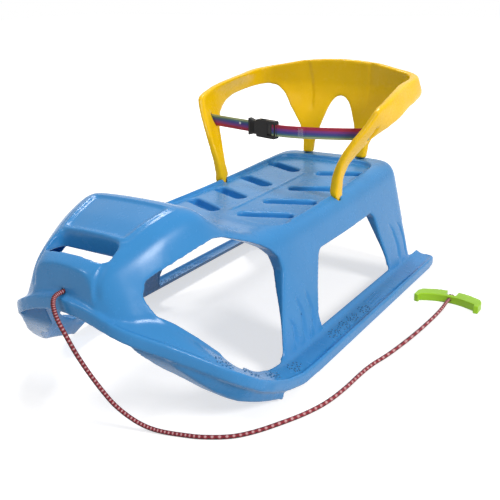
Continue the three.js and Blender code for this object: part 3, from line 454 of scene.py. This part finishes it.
def cord_curve(name, route, diameter, material, cyclic=False):
    curve = bpy.data.curves.new(name, "CURVE")
    curve.dimensions = "3D"
    curve.bevel_depth = diameter / 2
    curve.bevel_resolution = 4
    curve.resolution_u = 8
    curve.use_fill_caps = True
    spline = curve.splines.new("NURBS")
    spline.points.add(len(route) - 1)
    for point, place in zip(spline.points, route):
        point.co = (*place, 1)
    spline.use_cyclic_u = cyclic
    spline.use_endpoint_u = not cyclic
    spline.order_u = 3
    curve.materials.append(material)
    obj = bpy.data.objects.new(name, curve)
    bpy.context.collection.objects.link(obj)
    return obj


cord_yarn = braided_cord("braided_cord_yarn", *CORD_BRAID_TURNS)
knot_yarn = braided_cord("knotted_cord_yarn", *KNOT_BRAID_TURNS)
cord = cord_curve("cord_braid", CORD_ROUTE, CORD_DIAMETER, cord_yarn)
carry(cord, "pull_cord", "sled")

KNOT_POINTS = 24
KNOT_LOBES = 3
KNOT_WINDINGS = 2
KNOT_REACH = 2
KNOT_YARN_SHARE = 0.42


def stop_knot(node_name, name):
    """A three-lobed stop knot of the cord, filling the room of its CAD ball."""
    low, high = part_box(node_name)
    middle, half = (low + high) / 2, (high - low) / 2
    yarn = min(half) * KNOT_YARN_SHARE
    unit = KNOT_REACH + 1
    route = []
    for i in range(KNOT_POINTS):
        turn = i / KNOT_POINTS * FULL_TURN
        spread = KNOT_REACH + math.cos(KNOT_LOBES * turn)
        route.append((
            middle.x + (half.x - yarn) / unit * spread * math.cos(KNOT_WINDINGS * turn),
            middle.y + (half.y - yarn) * math.sin(KNOT_LOBES * turn),
            middle.z + (half.z - yarn) / unit * spread * math.sin(KNOT_WINDINGS * turn)))
    knot = cord_curve(name, route, 2 * yarn, knot_yarn, cyclic=True)
    carry(knot, node_name, "sled")
    return knot


nose_knot = stop_knot("cord_knot_inner", "nose_stop_knot")
grip_knot = stop_knot("cord_knot_handle", "grip_stop_knot")

grip = moulded_skin("pull_handle", "bowed_grip", voxel=0.0008, edge_rounds=6, near=0.001, far=0.004,
                    face_rounds=8)
grip_low, grip_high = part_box("pull_handle")

GRIP_RIDGE_PITCH = 0.0062
GRIP_RIDGE_HEIGHT = 0.0008
GRIP_RIDGE_ROUNDNESS = 0.6
GRIP_RIDGE_SUNK_SHARE = 0.6
GRIP_RIDGE_END_SHARES = (0.62, 0.75)
GRIP_BACK_FACING = (0.2, 0.8)


def grip_ridges(places, normals):
    """Fine cross ridges along the grip's back edge."""
    beside = places[:, 0] - (grip_low.x + grip_high.x) / 2
    share = np.abs(beside / ((grip_high.x - grip_low.x) / 2))
    wave = np.abs(np.sin(beside / GRIP_RIDGE_PITCH * math.pi)) ** GRIP_RIDGE_ROUNDNESS
    back = fade(normals[:, 1], *GRIP_BACK_FACING) * (1 - fade(share, *GRIP_RIDGE_END_SHARES))
    return (wave - GRIP_RIDGE_SUNK_SHARE) * GRIP_RIDGE_HEIGHT * back


push(grip, grip_ridges)
thin_to(grip, triangles=60000)
dress(grip, "pull_handle", "sled", lime_plastic)


# ---- Sled body ----------------------------------------------------------------------------------

# Flutes in the side pillars: heights and places along the sled, from the tip down
PILLAR_FLUTES = [
    [(0.102, -0.049), (0.064, -0.040), (0.026, -0.045)],
    [(0.101, -0.079), (0.072, -0.069), (0.026, -0.075)],
    [(0.078, -0.110), (0.059, -0.098), (0.026, -0.103)],
    [(0.112, 0.278), (0.092, 0.296), (0.060, 0.307), (0.026, 0.304)],
    [(0.107, 0.312), (0.088, 0.331), (0.060, 0.340), (0.026, 0.337)],
    [(0.110, 0.342), (0.094, 0.352), (0.060, 0.361), (0.034, 0.362)],
]
FLUTE_DEPTH = 0.0036
FLUTE_TIP_HALF_WIDTH = 0.003
FLUTE_HALF_WIDTH_GAIN = 0.009
FLUTE_FRONT_STEEPNESS = 1.9
FLUTE_BELOW_TIP = (-0.001, 0.018)
FLUTE_ABOVE_FOOT = (-0.006, 0.022)
FLUTE_OUTWARD_FACING = (0.35, 0.6)
FLUTE_OUTSIDE = (0.13, 0.14)


def pillar_flute_depth(places, normals):
    x, y, z = places.T
    total = np.zeros(len(places))
    for line in PILLAR_FLUTES:
        heights, lengths = np.array(line).T
        top, foot = heights[0], heights[-1]
        centre = np.interp(z, heights[::-1], lengths[::-1])
        down = np.clip((top - z) / (top - foot), 0, 1)
        half_width = FLUTE_TIP_HALF_WIDTH + FLUTE_HALF_WIDTH_GAIN * down
        ends = fade(top - z, *FLUTE_BELOW_TIP) * fade(z - foot, *FLUTE_ABOVE_FOOT)
        total += groove((y - centre) / half_width, before=FLUTE_FRONT_STEEPNESS) * ends
    outward = fade(normals[:, 0] * np.sign(x), *FLUTE_OUTWARD_FACING)
    return -FLUTE_DEPTH * total * outward * fade(np.abs(x), *FLUTE_OUTSIDE)


# The bare panel's corners, rear and front, as half width and place along the sled
PANEL_CORNERS = [(0.062, -0.258), (0.049, -0.328)]
(PANEL_REAR_X, PANEL_REAR_Y), (PANEL_FRONT_X, PANEL_FRONT_Y) = PANEL_CORNERS
PANEL_LEAN = (PANEL_REAR_X - PANEL_FRONT_X) / (PANEL_REAR_Y - PANEL_FRONT_Y)
# Raised lines: distance from the panel, height, and half widths of crest and foot
BORDER_LINES = [(0.0038, 0.0014, 0.0004, 0.0038), (0.0110, 0.0009, 0.0004, 0.0042)]
BORDER_UP_FACING = (0.45, 0.7)
BORDER_HEIGHTS = (0.205, 0.215)


def panel_border_height(places, normals):
    """Two raised lines round the bare panel of the hood."""
    x, y, z = places.T
    half_width = PANEL_FRONT_X + PANEL_LEAN * (y - PANEL_FRONT_Y)
    beside = (np.abs(x) - half_width) / math.hypot(1, PANEL_LEAN)
    beyond = np.maximum(y - PANEL_REAR_Y, PANEL_FRONT_Y - y)
    at_corner = (beside > 0) & (beyond > 0)
    outside = np.where(at_corner, np.hypot(beside, beyond), np.maximum(beside, beyond))
    lines = sum(height * (1 - fade(np.abs(outside - distance), crest, foot))
                for distance, height, crest, foot in BORDER_LINES)
    return lines * fade(normals[:, 2], *BORDER_UP_FACING) * fade(z, *BORDER_HEIGHTS)


NOSE_CREASE_DEPTH = 0.0026
NOSE_CREASE_HALF_WIDTH = 0.0075
NOSE_CREASE_X = 0.050
NOSE_CREASE_TOP = 0.24
NOSE_CREASE_LEAN = 0.04
NOSE_CREASE_FLANKS = (0.8, 1.8)
NOSE_CREASE_HEIGHTS = (0.186, 0.196, 0.232, 0.246)
NOSE_FORWARD_FACING = (0.3, 0.6)
NOSE_FRONT = (0.350, 0.360)


def nose_crease_depth(places, normals):
    """The soft upright hollows at both sides of the nose panel."""
    x, y, z = places.T
    line = NOSE_CREASE_X + NOSE_CREASE_LEAN * np.clip(NOSE_CREASE_TOP - z, 0, 1)
    hollow = groove((np.abs(x) - line) / NOSE_CREASE_HALF_WIDTH, *NOSE_CREASE_FLANKS)
    forward = fade(-normals[:, 1], *NOSE_FORWARD_FACING) * fade(-y, *NOSE_FRONT)
    return -NOSE_CREASE_DEPTH * hollow * within(z, *NOSE_CREASE_HEIGHTS) * forward


SEAT_RIDGE_HEIGHT = 0.0016
SEAT_RIDGE_X = -0.001
SEAT_RIDGE_HALF_WIDTHS = (0.0006, 0.0042)
SEAT_RIDGE_RUN = (-0.028, -0.013, 0.221, 0.236)
SEAT_UP_FACING = (0.7, 0.9)
SEAT_HEIGHTS = (0.188, 0.190)


def seat_ridge_height(places, normals):
    """The low ridge along the middle of the seat."""
    x, y, z = places.T
    ridge = 1 - fade(np.abs(x - SEAT_RIDGE_X), *SEAT_RIDGE_HALF_WIDTHS)
    seat = fade(normals[:, 2], *SEAT_UP_FACING) * fade(z, *SEAT_HEIGHTS)
    return SEAT_RIDGE_HEIGHT * ridge * within(y, *SEAT_RIDGE_RUN) * seat


def body_detail(places, normals):
    return (pillar_flute_depth(places, normals) + panel_border_height(places, normals)
            + nose_crease_depth(places, normals) + seat_ridge_height(places, normals))


BACKING_MARGIN = 0.003
BACKING_OVERLAP = BACKING_MARGIN * 0.6
BACKING_DROP = 0.0006
BACKING_THICKNESS = 0.0036
ABOVE_HOOD = 0.4


def panel_backing(bm):
    """Adds a plate behind the hood panel, so that its thin floor stays whole."""
    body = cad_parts["sled_body"]

    def height(x, y):
        return body.ray_cast(Vector((x, y, ABOVE_HOOD)), DOWN)[1].z

    rear, front = PANEL_REAR_Y - BACKING_MARGIN, PANEL_FRONT_Y + BACKING_MARGIN
    slope = (height(0, rear) - height(0, front)) / (rear - front)
    middle_y = (PANEL_REAR_Y + PANEL_FRONT_Y) / 2
    half_y = (PANEL_REAR_Y - PANEL_FRONT_Y) / 2 + BACKING_OVERLAP
    plate = bmesh.ops.create_grid(bm, x_segments=12, y_segments=8, size=1)["verts"]
    for vertex in plate:
        y = middle_y + vertex.co.y * half_y
        half_x = PANEL_FRONT_X + PANEL_LEAN * (y - PANEL_FRONT_Y)
        inner_y = min(max(y, front), rear)
        z = height(vertex.co.x * (half_x - BACKING_MARGIN), inner_y) + slope * (y - inner_y)
        vertex.co = (vertex.co.x * (half_x + BACKING_OVERLAP), y, z - BACKING_DROP)
    faces = list({face for vertex in plate for face in vertex.link_faces})
    under = bmesh.ops.extrude_face_region(bm, geom=faces, use_keep_orig=True)["geom"]
    for vertex in (item for item in under if isinstance(item, bmesh.types.BMVert)):
        vertex.co.z -= BACKING_THICKNESS


# The side wall's outer face: its half width at one height, and its lean below that
WALL_HALF_WIDTH = 0.1515
WALL_HEIGHT = 0.100
WALL_LEAN = 0.232
RETURN_KEPT_DEPTH = 0.0045
RETURN_LOST_SHARE = 0.90
RETURN_LOST_HEIGHTS = (0.045, 0.165)
RETURN_LOST_RUN = (-0.21, -0.13, 0.335, 0.350)
RETURN_INNER_X = 0.085
RETURN_LOW, RETURN_HIGH = 0.020, 0.166
# Corners of the skin that get more softening: ranges of half width, length and height, and rounds
SOFTENED_CORNERS = [
    # where the front windows' returns meet the flange
    ((0.130, 0.135, 0.163, 0.167), (-0.275, -0.262, -0.200, -0.195), (*NO_START, 0.115, 0.125), 240),
    # the sills of the front windows
    ((0.125, 0.130, 0.165, 0.170), (-0.200, -0.190, -0.060, -0.050), (*NO_START, 0.036, 0.046), 60),
    # the rear ends of the ground lips
    ((0.150, 0.156, *NO_END), (0.362, 0.372, *NO_END), (*NO_START, 0.070, 0.080), 24),
]


def narrow_returns(obj):
    """Narrows the window returns towards the ground and rounds the corners beside them."""
    places = places_of(obj)
    x, y, z = places.T
    depth = WALL_HALF_WIDTH + WALL_LEAN * (WALL_HEIGHT - z) - np.abs(x)
    lost = RETURN_LOST_SHARE * (1 - fade(z, *RETURN_LOST_HEIGHTS)) * within(y, *RETURN_LOST_RUN)
    inward = ((depth > RETURN_KEPT_DEPTH) & (np.abs(x) > RETURN_INNER_X)
              & (z > RETURN_LOW) & (z < RETURN_HIGH))
    x += np.where(inward, np.sign(x) * (depth - RETURN_KEPT_DEPTH) * lost, 0)
    put_places(obj, places)
    for half_widths, lengths, heights, rounds in SOFTENED_CORNERS:
        corner = within(np.abs(x), *half_widths) * within(y, *lengths) * within(z, *heights)
        soften(obj, corner * FACE_SOFTENING, rounds)


body_skin = moulded_skin("sled_body", "moulded_sled_body", voxel=0.0017, edge_rounds=9, near=0.004,
                         far=0.014, face_rounds=30, backing=panel_backing)
narrow_returns(body_skin)
push(body_skin, body_detail)
soften(body_skin, EDGE_SOFTENING, rounds=3)
thin_to(body_skin, triangles=192000)
dress(body_skin, "sled_body", "sled", blue_plastic)


# Pips and ribs that stop a foot slipping in the side troughs: half widths and lengths
PIP_CLUSTERS = [(0.167, -0.292), (0.174, -0.242), (0.181, -0.194), (0.184, -0.142),
                (0.184, -0.014), (0.184, 0.019), (0.184, 0.054), (0.187, 0.094)]
PIPS_IN_CLUSTER = 17
PIP_RADIUS = 0.0014
PIP_SPACING = 2.5 * PIP_RADIUS
PIP_HEIGHT_SHARE = 0.75
PIP_TRIES = 400
PIP_SEED = 11
CLUSTER_RADIUS = 0.0125
CLUSTER_STRETCH = (0.8, 1.2)
RIB_PLACES = [(0.176, 0.140), (0.182, 0.146), (0.188, 0.142), (0.194, 0.148)]
RIB_SIZE = (0.0016, 0.046, 0.0016)
RIB_EDGE_RADIUS = 0.0006
ABOVE_TROUGH = 0.3
TROUGH_LOWEST = 0.008


def trough_points(half_width, length):
    """The points of the body's skin straight below a place in both troughs, with their normals."""
    skin = body_skin.evaluated_get(bpy.context.evaluated_depsgraph_get())
    for side in (-1, 1):
        found, place, normal, _ = skin.ray_cast(Vector((side * half_width, length, ABOVE_TROUGH)), DOWN)
        if found and place.z > TROUGH_LOWEST:
            yield place, normal


pips = bmesh.new()
picker = random.Random(PIP_SEED)
for cluster_x, cluster_y in PIP_CLUSTERS:
    chosen = []
    for _ in range(PIP_TRIES):
        if len(chosen) >= PIPS_IN_CLUSTER:
            break
        turn, reach = picker.uniform(0, FULL_TURN), CLUSTER_RADIUS * math.sqrt(picker.random())
        spot = Vector((cluster_x + CLUSTER_STRETCH[0] * reach * math.cos(turn),
                       cluster_y + CLUSTER_STRETCH[1] * reach * math.sin(turn)))
        if all((spot - other).length > PIP_SPACING for other in chosen):
            chosen.append(spot)
    for spot in chosen:
        for place, normal in trough_points(spot.x, spot.y):
            flattened = Matrix.Diagonal((1, 1, PIP_HEIGHT_SHARE, 1))
            matrix = Matrix.Translation(place) @ turned_to(normal) @ flattened
            bmesh.ops.create_uvsphere(pips, u_segments=7, v_segments=4, radius=PIP_RADIUS,
                                      matrix=matrix)
foot_pips = linked("foot_rest_pips", pips)
# The pips wear the painted-shade blue, half as bright as the body
dress(foot_pips, "sled_body", "sled", pip_painted_shade_blue, replaces=False)

ribs = bmesh.new()
for rib_x, rib_y in RIB_PLACES:
    for place, _ in trough_points(rib_x, rib_y):
        add_eased_bar(ribs, Matrix.Translation(place), RIB_SIZE, RIB_EDGE_RADIUS)
foot_ribs = linked("foot_rest_ribs", ribs)
dress(foot_ribs, "sled_body", "sled", blue_plastic, replaces=False)


# ---- Backrest -----------------------------------------------------------------------------------

BACK_CREASE_DEPTH = 0.0015
BACK_CREASE_HALF_WIDTH = 0.012
BACK_CREASE_X = 0.0585
BACK_CREASE_LEAN = 0.10
BACK_CREASE_FOOT = 0.300
BACK_CREASE_FLANKS = (0.5, 1.6)
BACK_CREASE_HEIGHTS = (0.285, 0.310)
BACK_PANEL_RUN = (0.33, 0.34)
BACK_FORWARD_FACING = (0.55, 0.8)


def back_crease_depth(places, normals):
    """The two upright creases where the flat back panel turns into the wings."""
    x, y, z = places.T
    line = BACK_CREASE_X + BACK_CREASE_LEAN * np.clip(z - BACK_CREASE_FOOT, 0, 1)
    crease = groove((np.abs(x) - line) / BACK_CREASE_HALF_WIDTH, *BACK_CREASE_FLANKS)
    panel = (fade(-normals[:, 1], *BACK_FORWARD_FACING) * fade(z, *BACK_CREASE_HEIGHTS)
             * fade(y, *BACK_PANEL_RUN))
    return -BACK_CREASE_DEPTH * crease * panel


back_skin = moulded_skin("backrest", "moulded_backrest", voxel=0.0016, edge_rounds=26, near=0.003,
                         far=0.012, face_rounds=30)
push(back_skin, back_crease_depth)
thin_to(back_skin, triangles=150000)
dress(back_skin, "backrest", "seat_back", yellow_plastic)


# ---- Lap belt -----------------------------------------------------------------------------------

BELT_STRIPES = [(0.0, (0.46, 0.50, 0.20)), (0.15, (0.42, 0.49, 0.24)), (0.19, (0.090, 0.23, 0.20)),
                (0.31, (0.060, 0.13, 0.24)), (0.35, (0.050, 0.070, 0.30)),
                (0.49, (0.080, 0.055, 0.30)), (0.54, (0.20, 0.045, 0.27)),
                (0.69, (0.29, 0.035, 0.24)), (0.74, (0.44, 0.020, 0.070)),
                (1.0, (0.46, 0.014, 0.035))]
YARNS_ACROSS = 26
PICK_PITCH = 0.0011
PICK_SLANT = 1.2
YARN_RELIEF_SHARE = 0.35
STRIPE_RAGGEDNESS = 0.03
RAGGED_SCALE = 700
# Painted light and shade on the weave: shares of the stripe colour in its hollows and on its crests
WEAVE_PAINTED_LIGHT_TONES = [(0.1, (0.70,) * 3), (0.8, (1.15,) * 3)]
WEAVE_STRENGTH = 0.7
WEAVE_HEIGHT = 0.0004
# Sockets of the colour mix node
MIX_FIRST, MIX_SECOND, MIX_RESULT = 6, 7, 2


def striped_webbing(name, turned_over=False):
    """Woven polyester webbing: lengthwise stripes, fine cross ribs, and painted light and shade that is
    paler on the weave's crests and darker in its hollows.
    """
    material = bpy.data.materials.new(name)
    nodes = Nodes(material)
    place = nodes.add("ShaderNodeTexCoord").outputs["UV"]
    split = nodes.add("ShaderNodeSeparateXYZ")
    nodes.link(place, split.inputs[0])
    run, across = split.outputs["X"], split.outputs["Y"]
    ragged = nodes.math("MULTIPLY_ADD", nodes.noise(place, RAGGED_SCALE, detail=2),
                        STRIPE_RAGGEDNESS, -STRIPE_RAGGEDNESS / 2)
    height = nodes.math("ADD", nodes.math("SUBTRACT", 1, across) if turned_over else across, ragged)
    yarns = nodes.wave(across, YARNS_ACROSS)
    picks = nodes.math("SINE", nodes.math("ADD", nodes.math("MULTIPLY", run, FULL_TURN / PICK_PITCH),
                                          nodes.math("MULTIPLY", yarns, PICK_SLANT)))
    weave = nodes.math("MULTIPLY_ADD", picks, 0.5, nodes.math("MULTIPLY", yarns, YARN_RELIEF_SHARE))
    # The stripes are multiplied by painted light and shade that follows the weave's relief
    tone = nodes.add("ShaderNodeMix", data_type="RGBA", blend_type="MULTIPLY")
    tone.inputs["Factor"].default_value = 1
    nodes.link(nodes.ramp(height, BELT_STRIPES), tone.inputs[MIX_FIRST])
    light = nodes.ramp(nodes.math("MULTIPLY_ADD", weave, 0.5, 0.5), WEAVE_PAINTED_LIGHT_TONES)
    nodes.link(light, tone.inputs[MIX_SECOND])
    nodes.link(tone.outputs[MIX_RESULT], nodes.shader.inputs["Base Color"])
    nodes.shader.inputs["Roughness"].default_value = 0.72
    nodes.shader.inputs["Sheen Weight"].default_value = 0.12
    nodes.bump(weave, WEAVE_STRENGTH, WEAVE_HEIGHT)
    return material


near_stripes = striped_webbing("near_belt_stripes")
far_stripes = striped_webbing("far_belt_stripes", turned_over=True)

WEBBING_SPACING = 0.002
WEBBING_ROWS = 10
SELVEDGE_SHARE = 0.3
SHORTEST_STEP = 1e-9


def spaced(route, spacing):
    """The route again as evenly spaced points."""
    lengths = [0.0]
    for a, b in zip(route, route[1:]):
        lengths.append(lengths[-1] + (b - a).length)
    count = max(1, round(lengths[-1] / spacing))
    even = []
    for i in range(count + 1):
        goal = lengths[-1] * i / count
        after = next((j for j, length in enumerate(lengths) if length >= goal), 1)
        k = min(len(route) - 2, max(0, after - 1))
        step = max(SHORTEST_STEP, lengths[k + 1] - lengths[k])
        even.append(route[k].lerp(route[k + 1], (goal - lengths[k]) / step))
    return even


def webbing_strip(name, route, thickness, material, shift=0.0):
    """A strip of webbing on edge along a route, with round selvedges."""
    route = spaced(route, WEBBING_SPACING)
    last = len(route) - 1
    run_length = sum((b - a).length for a, b in zip(route, route[1:]))
    strip = bmesh.new()
    uv = strip.loops.layers.uv.new("weave")
    bmesh.ops.create_grid(strip, x_segments=last, y_segments=WEBBING_ROWS, size=1)
    for face in strip.faces:
        for loop in face.loops:
            loop[uv].uv = ((loop.vert.co.x + 1) / 2 * run_length, (loop.vert.co.y + 1) / 2)
    for vertex in strip.verts:
        i = min(last, round((vertex.co.x + 1) / 2 * last))
        along = (route[min(last, i + 1)] - route[max(0, i - 1)]).normalized()
        across = UP.cross(along).normalized()
        rise = along.cross(across)
        vertex.co = route[i] + across * shift + rise * vertex.co.y * BELT_WIDTH / 2
    obj = linked(name, strip, material)
    body = obj.modifiers.new("webbing_thickness", "SOLIDIFY")
    body.thickness = thickness
    body.offset = 0
    rounding = obj.modifiers.new("selvedge", "BEVEL")
    rounding.width = thickness * SELVEDGE_SHARE
    rounding.segments = 2
    rounding.limit_method = "ANGLE"
    bake_modifiers(obj)
    shade_smooth(obj)
    return obj


def bend(share):
    """A point of the near half's curve, from the buckle to its slot."""
    return BUCKLE_END * (1 - share) ** 2 + NEAR_BEND * 2 * share * (1 - share) + NEAR_SLOT * share ** 2


belt_line = (BUCKLE_END - FAR_SLOT).normalized()
belt_run = (BUCKLE_END - FAR_SLOT).length
belt_side = UP.cross(belt_line).normalized()
belt_rise = belt_line.cross(belt_side)
belt_turn = Matrix((belt_line, belt_side, belt_rise)).transposed().to_4x4()

# The far half ends in a hem behind the far slot, a little thinner than in the CAD model
FAR_HEM_THICKNESS = HEM_THICKNESS * 0.96
plug_start = FAR_SLOT + belt_line * (belt_run - PLUG_LENGTH - BELT_GAP)
hem_start = FAR_SLOT - belt_line * (HEM_GAP + HEM_LENGTH)
hem_middle = FAR_SLOT - belt_line * (HEM_GAP + HEM_LENGTH / 2)
hem_end = FAR_SLOT - belt_line * HEM_GAP
far_strap = webbing_strip("far_belt_webbing", [hem_middle, plug_start], BELT_THICKNESS, far_stripes)
dress(far_strap, "belt_far", "plug", far_stripes)
far_hem = webbing_strip("far_belt_hem", [hem_start, hem_end], FAR_HEM_THICKNESS, far_stripes)
dress(far_hem, "belt_far", "plug", far_stripes, replaces=False)

BEND_STEPS = 24
near_start = BUCKLE_END + belt_line * BELT_THICKNESS
near_bends = [bend(i / BEND_STEPS) for i in range(1, BEND_STEPS + 1)]
near_strap = webbing_strip("near_belt_webbing", [near_start] + near_bends, BELT_THICKNESS, near_stripes)
dress(near_strap, "belt_near", "seat_back", near_stripes)

# Where the near half goes round the bar of the socket
BAR_WRAP_START, BAR_WRAP_END = -0.0086, 0.0008
BAR_WRAP_SHIFT = -0.0032
BAR_WRAP_THICKNESS = BELT_THICKNESS * 0.8
bar_wrap = webbing_strip("near_belt_bar_wrap",
                         [BUCKLE_END + belt_line * run for run in (BAR_WRAP_START, BAR_WRAP_END)],
                         BAR_WRAP_THICKNESS, near_stripes, shift=BAR_WRAP_SHIFT)
dress(bar_wrap, "belt_near", "seat_back", near_stripes, replaces=False)

tail_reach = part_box("belt_tail")[1].x
tail_route = [near_start] + [place for place in near_bends if place.x < tail_reach]
tail_strap = webbing_strip("belt_tail_webbing", tail_route, BELT_THICKNESS, near_stripes,
                           shift=-BELT_THICKNESS - BELT_GAP)
dress(tail_strap, "belt_tail", "seat_back", near_stripes)

# Rows of stitches across the end of the tail
STITCH_COLUMNS, STITCH_ROWS = 4, 9
STITCH_COLUMN_PITCH, STITCH_ROW_PITCH = 0.0026, 0.0017
STITCH_INSET = 0.0045
STITCH_LENGTH = 0.0019
STITCH_RADIUS = 0.00022

tail_tip = tail_route[-1]
tail_along = (tail_tip - tail_route[-2]).normalized()
tail_side = UP.cross(tail_along).normalized()
tail_face = tail_side * (-1.5 * BELT_THICKNESS - BELT_GAP)
stitches = bmesh.new()
for column in range(STITCH_COLUMNS):
    for row in range(STITCH_ROWS):
        lift = UP * (row - STITCH_ROWS // 2) * STITCH_ROW_PITCH
        back = STITCH_INSET + column * STITCH_COLUMN_PITCH
        place = tail_tip - tail_along * back + tail_face + lift
        bmesh.ops.create_cone(stitches, cap_ends=True, segments=6, radius1=STITCH_RADIUS,
                              radius2=STITCH_RADIUS, depth=STITCH_LENGTH,
                              matrix=Matrix.Translation(place) @ turned_to(tail_along))
tail_stitches = linked("tail_stitches", stitches)
dress(tail_stitches, "belt_tail", "seat_back", stitch_white, replaces=False)

rivet = merged_copy("belt_rivet", "belt_end_stud", flat_angle=math.radians(2))
rivet_edge = rivet.modifiers.new("stud_edge", "BEVEL")
rivet_edge.width = 0.0003
rivet_edge.segments = 2
bake_modifiers(rivet)
dress(rivet, "belt_rivet", "plug", stitch_white)


# ---- Buckle -------------------------------------------------------------------------------------

BUCKLE_FLAT_ANGLE = math.radians(3)
BUCKLE_EDGE_ANGLE = math.radians(28)


def eased_part(node_name, name, radius):
    """A copy of a buckle part with small moulded radii on its edges."""
    obj = merged_copy(node_name, name, flat_angle=BUCKLE_FLAT_ANGLE)
    edge = obj.modifiers.new("moulded_edge", "BEVEL")
    edge.width = radius
    edge.segments = 3
    edge.limit_method = "ANGLE"
    edge.angle_limit = BUCKLE_EDGE_ANGLE
    edge.harden_normals = True
    bake_modifiers(obj)
    shade_smooth(obj)
    return obj


socket_part = eased_part("buckle_socket", "buckle_socket_shell", radius=0.0005)
dress(socket_part, "buckle_socket", "seat_back", black_plastic)
plug_part = eased_part("buckle_plug", "buckle_plug_shell", radius=0.0006)
dress(plug_part, "buckle_plug", "plug", black_plastic)
for prong in ("upper", "lower"):
    prong_part = eased_part(f"buckle_prong_{prong}", f"buckle_spring_{prong}", radius=0.0005)
    dress(prong_part, f"buckle_prong_{prong}", f"prong_{prong}", black_plastic)

# Finger ribs on the front of the plug: places before the socket, along the belt
FINGER_RIB_PLACES = (0.0075, 0.0105, 0.0135)
FINGER_RIB_SIDE = -0.0046
FINGER_RIB_SIZE = (0.0012, 0.0010, 0.0175)
FINGER_RIB_RADIUS = 0.0003

finger_ribs = bmesh.new()
for before in FINGER_RIB_PLACES:
    run = belt_run - SOCKET_LENGTH - before
    place = FAR_SLOT + belt_line * run + belt_side * FINGER_RIB_SIDE
    add_eased_bar(finger_ribs, Matrix.Translation(place) @ belt_turn, FINGER_RIB_SIZE,
                  FINGER_RIB_RADIUS)
plug_ribs = linked("buckle_plug_ribs", finger_ribs)
dress(plug_ribs, "buckle_plug", "plug", black_plastic, replaces=False)


# ---- Floor, lamps and world ---------------------------------------------------------------------

FLOOR_REACH = 9
PAPER_TONES = [(0.3, (0.60, 0.58, 0.565)), (0.7, (0.62, 0.60, 0.585))]
# The paper's own glow, seen by the camera alone and in reflections: near and far strength, and how
# far off the object they start and end
GLOW = {"To Min": 0.66, "To Max": 1.0, "From Min": 0.5, "From Max": 1.6}

floor_mesh = bmesh.new()
bmesh.ops.create_grid(floor_mesh, x_segments=1, y_segments=1, size=FLOOR_REACH)
floor = linked("floor", floor_mesh)
floor_paint = bpy.data.materials.new("floor_paper")
paper = Nodes(floor_paint)
paper.shader.inputs["Roughness"].default_value = 0.9
paper.shader.inputs["Specular IOR Level"].default_value = 0.1
paper_place = paper.add("ShaderNodeTexCoord").outputs["Object"]
paper.link(paper.ramp(paper.noise(paper_place, scale=2), PAPER_TONES), paper.shader.inputs["Base Color"])
reach = paper.add("ShaderNodeVectorMath", operation="LENGTH")
paper.link(paper_place, reach.inputs[0])
spread = paper.add("ShaderNodeMapRange", interpolation_type="SMOOTHSTEP")
for socket, value in GLOW.items():
    spread.inputs[socket].default_value = value
paper.link(reach.outputs["Value"], spread.inputs["Value"])
light_path = paper.add("ShaderNodeLightPath")
seen = paper.math("MAXIMUM", light_path.outputs["Is Camera Ray"], light_path.outputs["Is Glossy Ray"])
glow = paper.add("ShaderNodeEmission")
paper.link(paper.math("MULTIPLY", seen, spread.outputs[0]), glow.inputs["Strength"])
both = paper.add("ShaderNodeAddShader")
paper.link(paper.shader.outputs[0], both.inputs[0])
paper.link(glow.outputs[0], both.inputs[1])
paper.link(both.outputs[0], paper.tree.nodes["Material Output"].inputs["Surface"])
floor.data.materials.append(floor_paint)

# Soft studio lamps: place, what they aim at, diameter and power in watts
LAMPS = {
    "key_lamp": ((2.3, -0.3, 1.5), (0, 0, 0.15), 0.8, 46),
    "fill_lamp": ((-0.9, -2.2, 2.6), (0, 0, 0.25), 0.6, 26),
    "top_lamp": ((-0.9, 0.9, 2.6), (0, 0, 0.15), 0.7, 28),
}
for name, (place, aim, size, power) in LAMPS.items():
    lamp_data = bpy.data.lights.new(name, "AREA")
    lamp_data.shape = "DISK"
    lamp_data.size = size
    lamp_data.energy = power
    lamp = bpy.data.objects.new(name, lamp_data)
    bpy.context.collection.objects.link(lamp)
    lamp.location = place
    lamp.rotation_euler = (Vector(aim) - Vector(place)).to_track_quat("-Z", "Y").to_euler()

# The world is white to the camera and in reflections, and dimmer as a light
WORLD_LIGHT = 0.24
WORLD_SEEN = 1.0

world = bpy.data.worlds.new("studio")
bpy.context.scene.world = world
world.use_nodes = True
world_tree = world.node_tree
sky = world_tree.nodes["Background"]
sky.inputs["Color"].default_value = (1, 1, 1, 1)
world_path = world_tree.nodes.new("ShaderNodeLightPath")
world_seen = world_tree.nodes.new("ShaderNodeMath")
world_seen.operation = "MAXIMUM"
world_tree.links.new(world_path.outputs["Is Camera Ray"], world_seen.inputs[0])
world_tree.links.new(world_path.outputs["Is Glossy Ray"], world_seen.inputs[1])
world_mix = world_tree.nodes.new("ShaderNodeMapRange")
world_mix.inputs["To Min"].default_value = WORLD_LIGHT
world_mix.inputs["To Max"].default_value = WORLD_SEEN
world_tree.links.new(world_seen.outputs[0], world_mix.inputs["Value"])
world_tree.links.new(world_mix.outputs[0], sky.inputs["Strength"])

bpy.context.scene.view_settings.view_transform = "Standard"
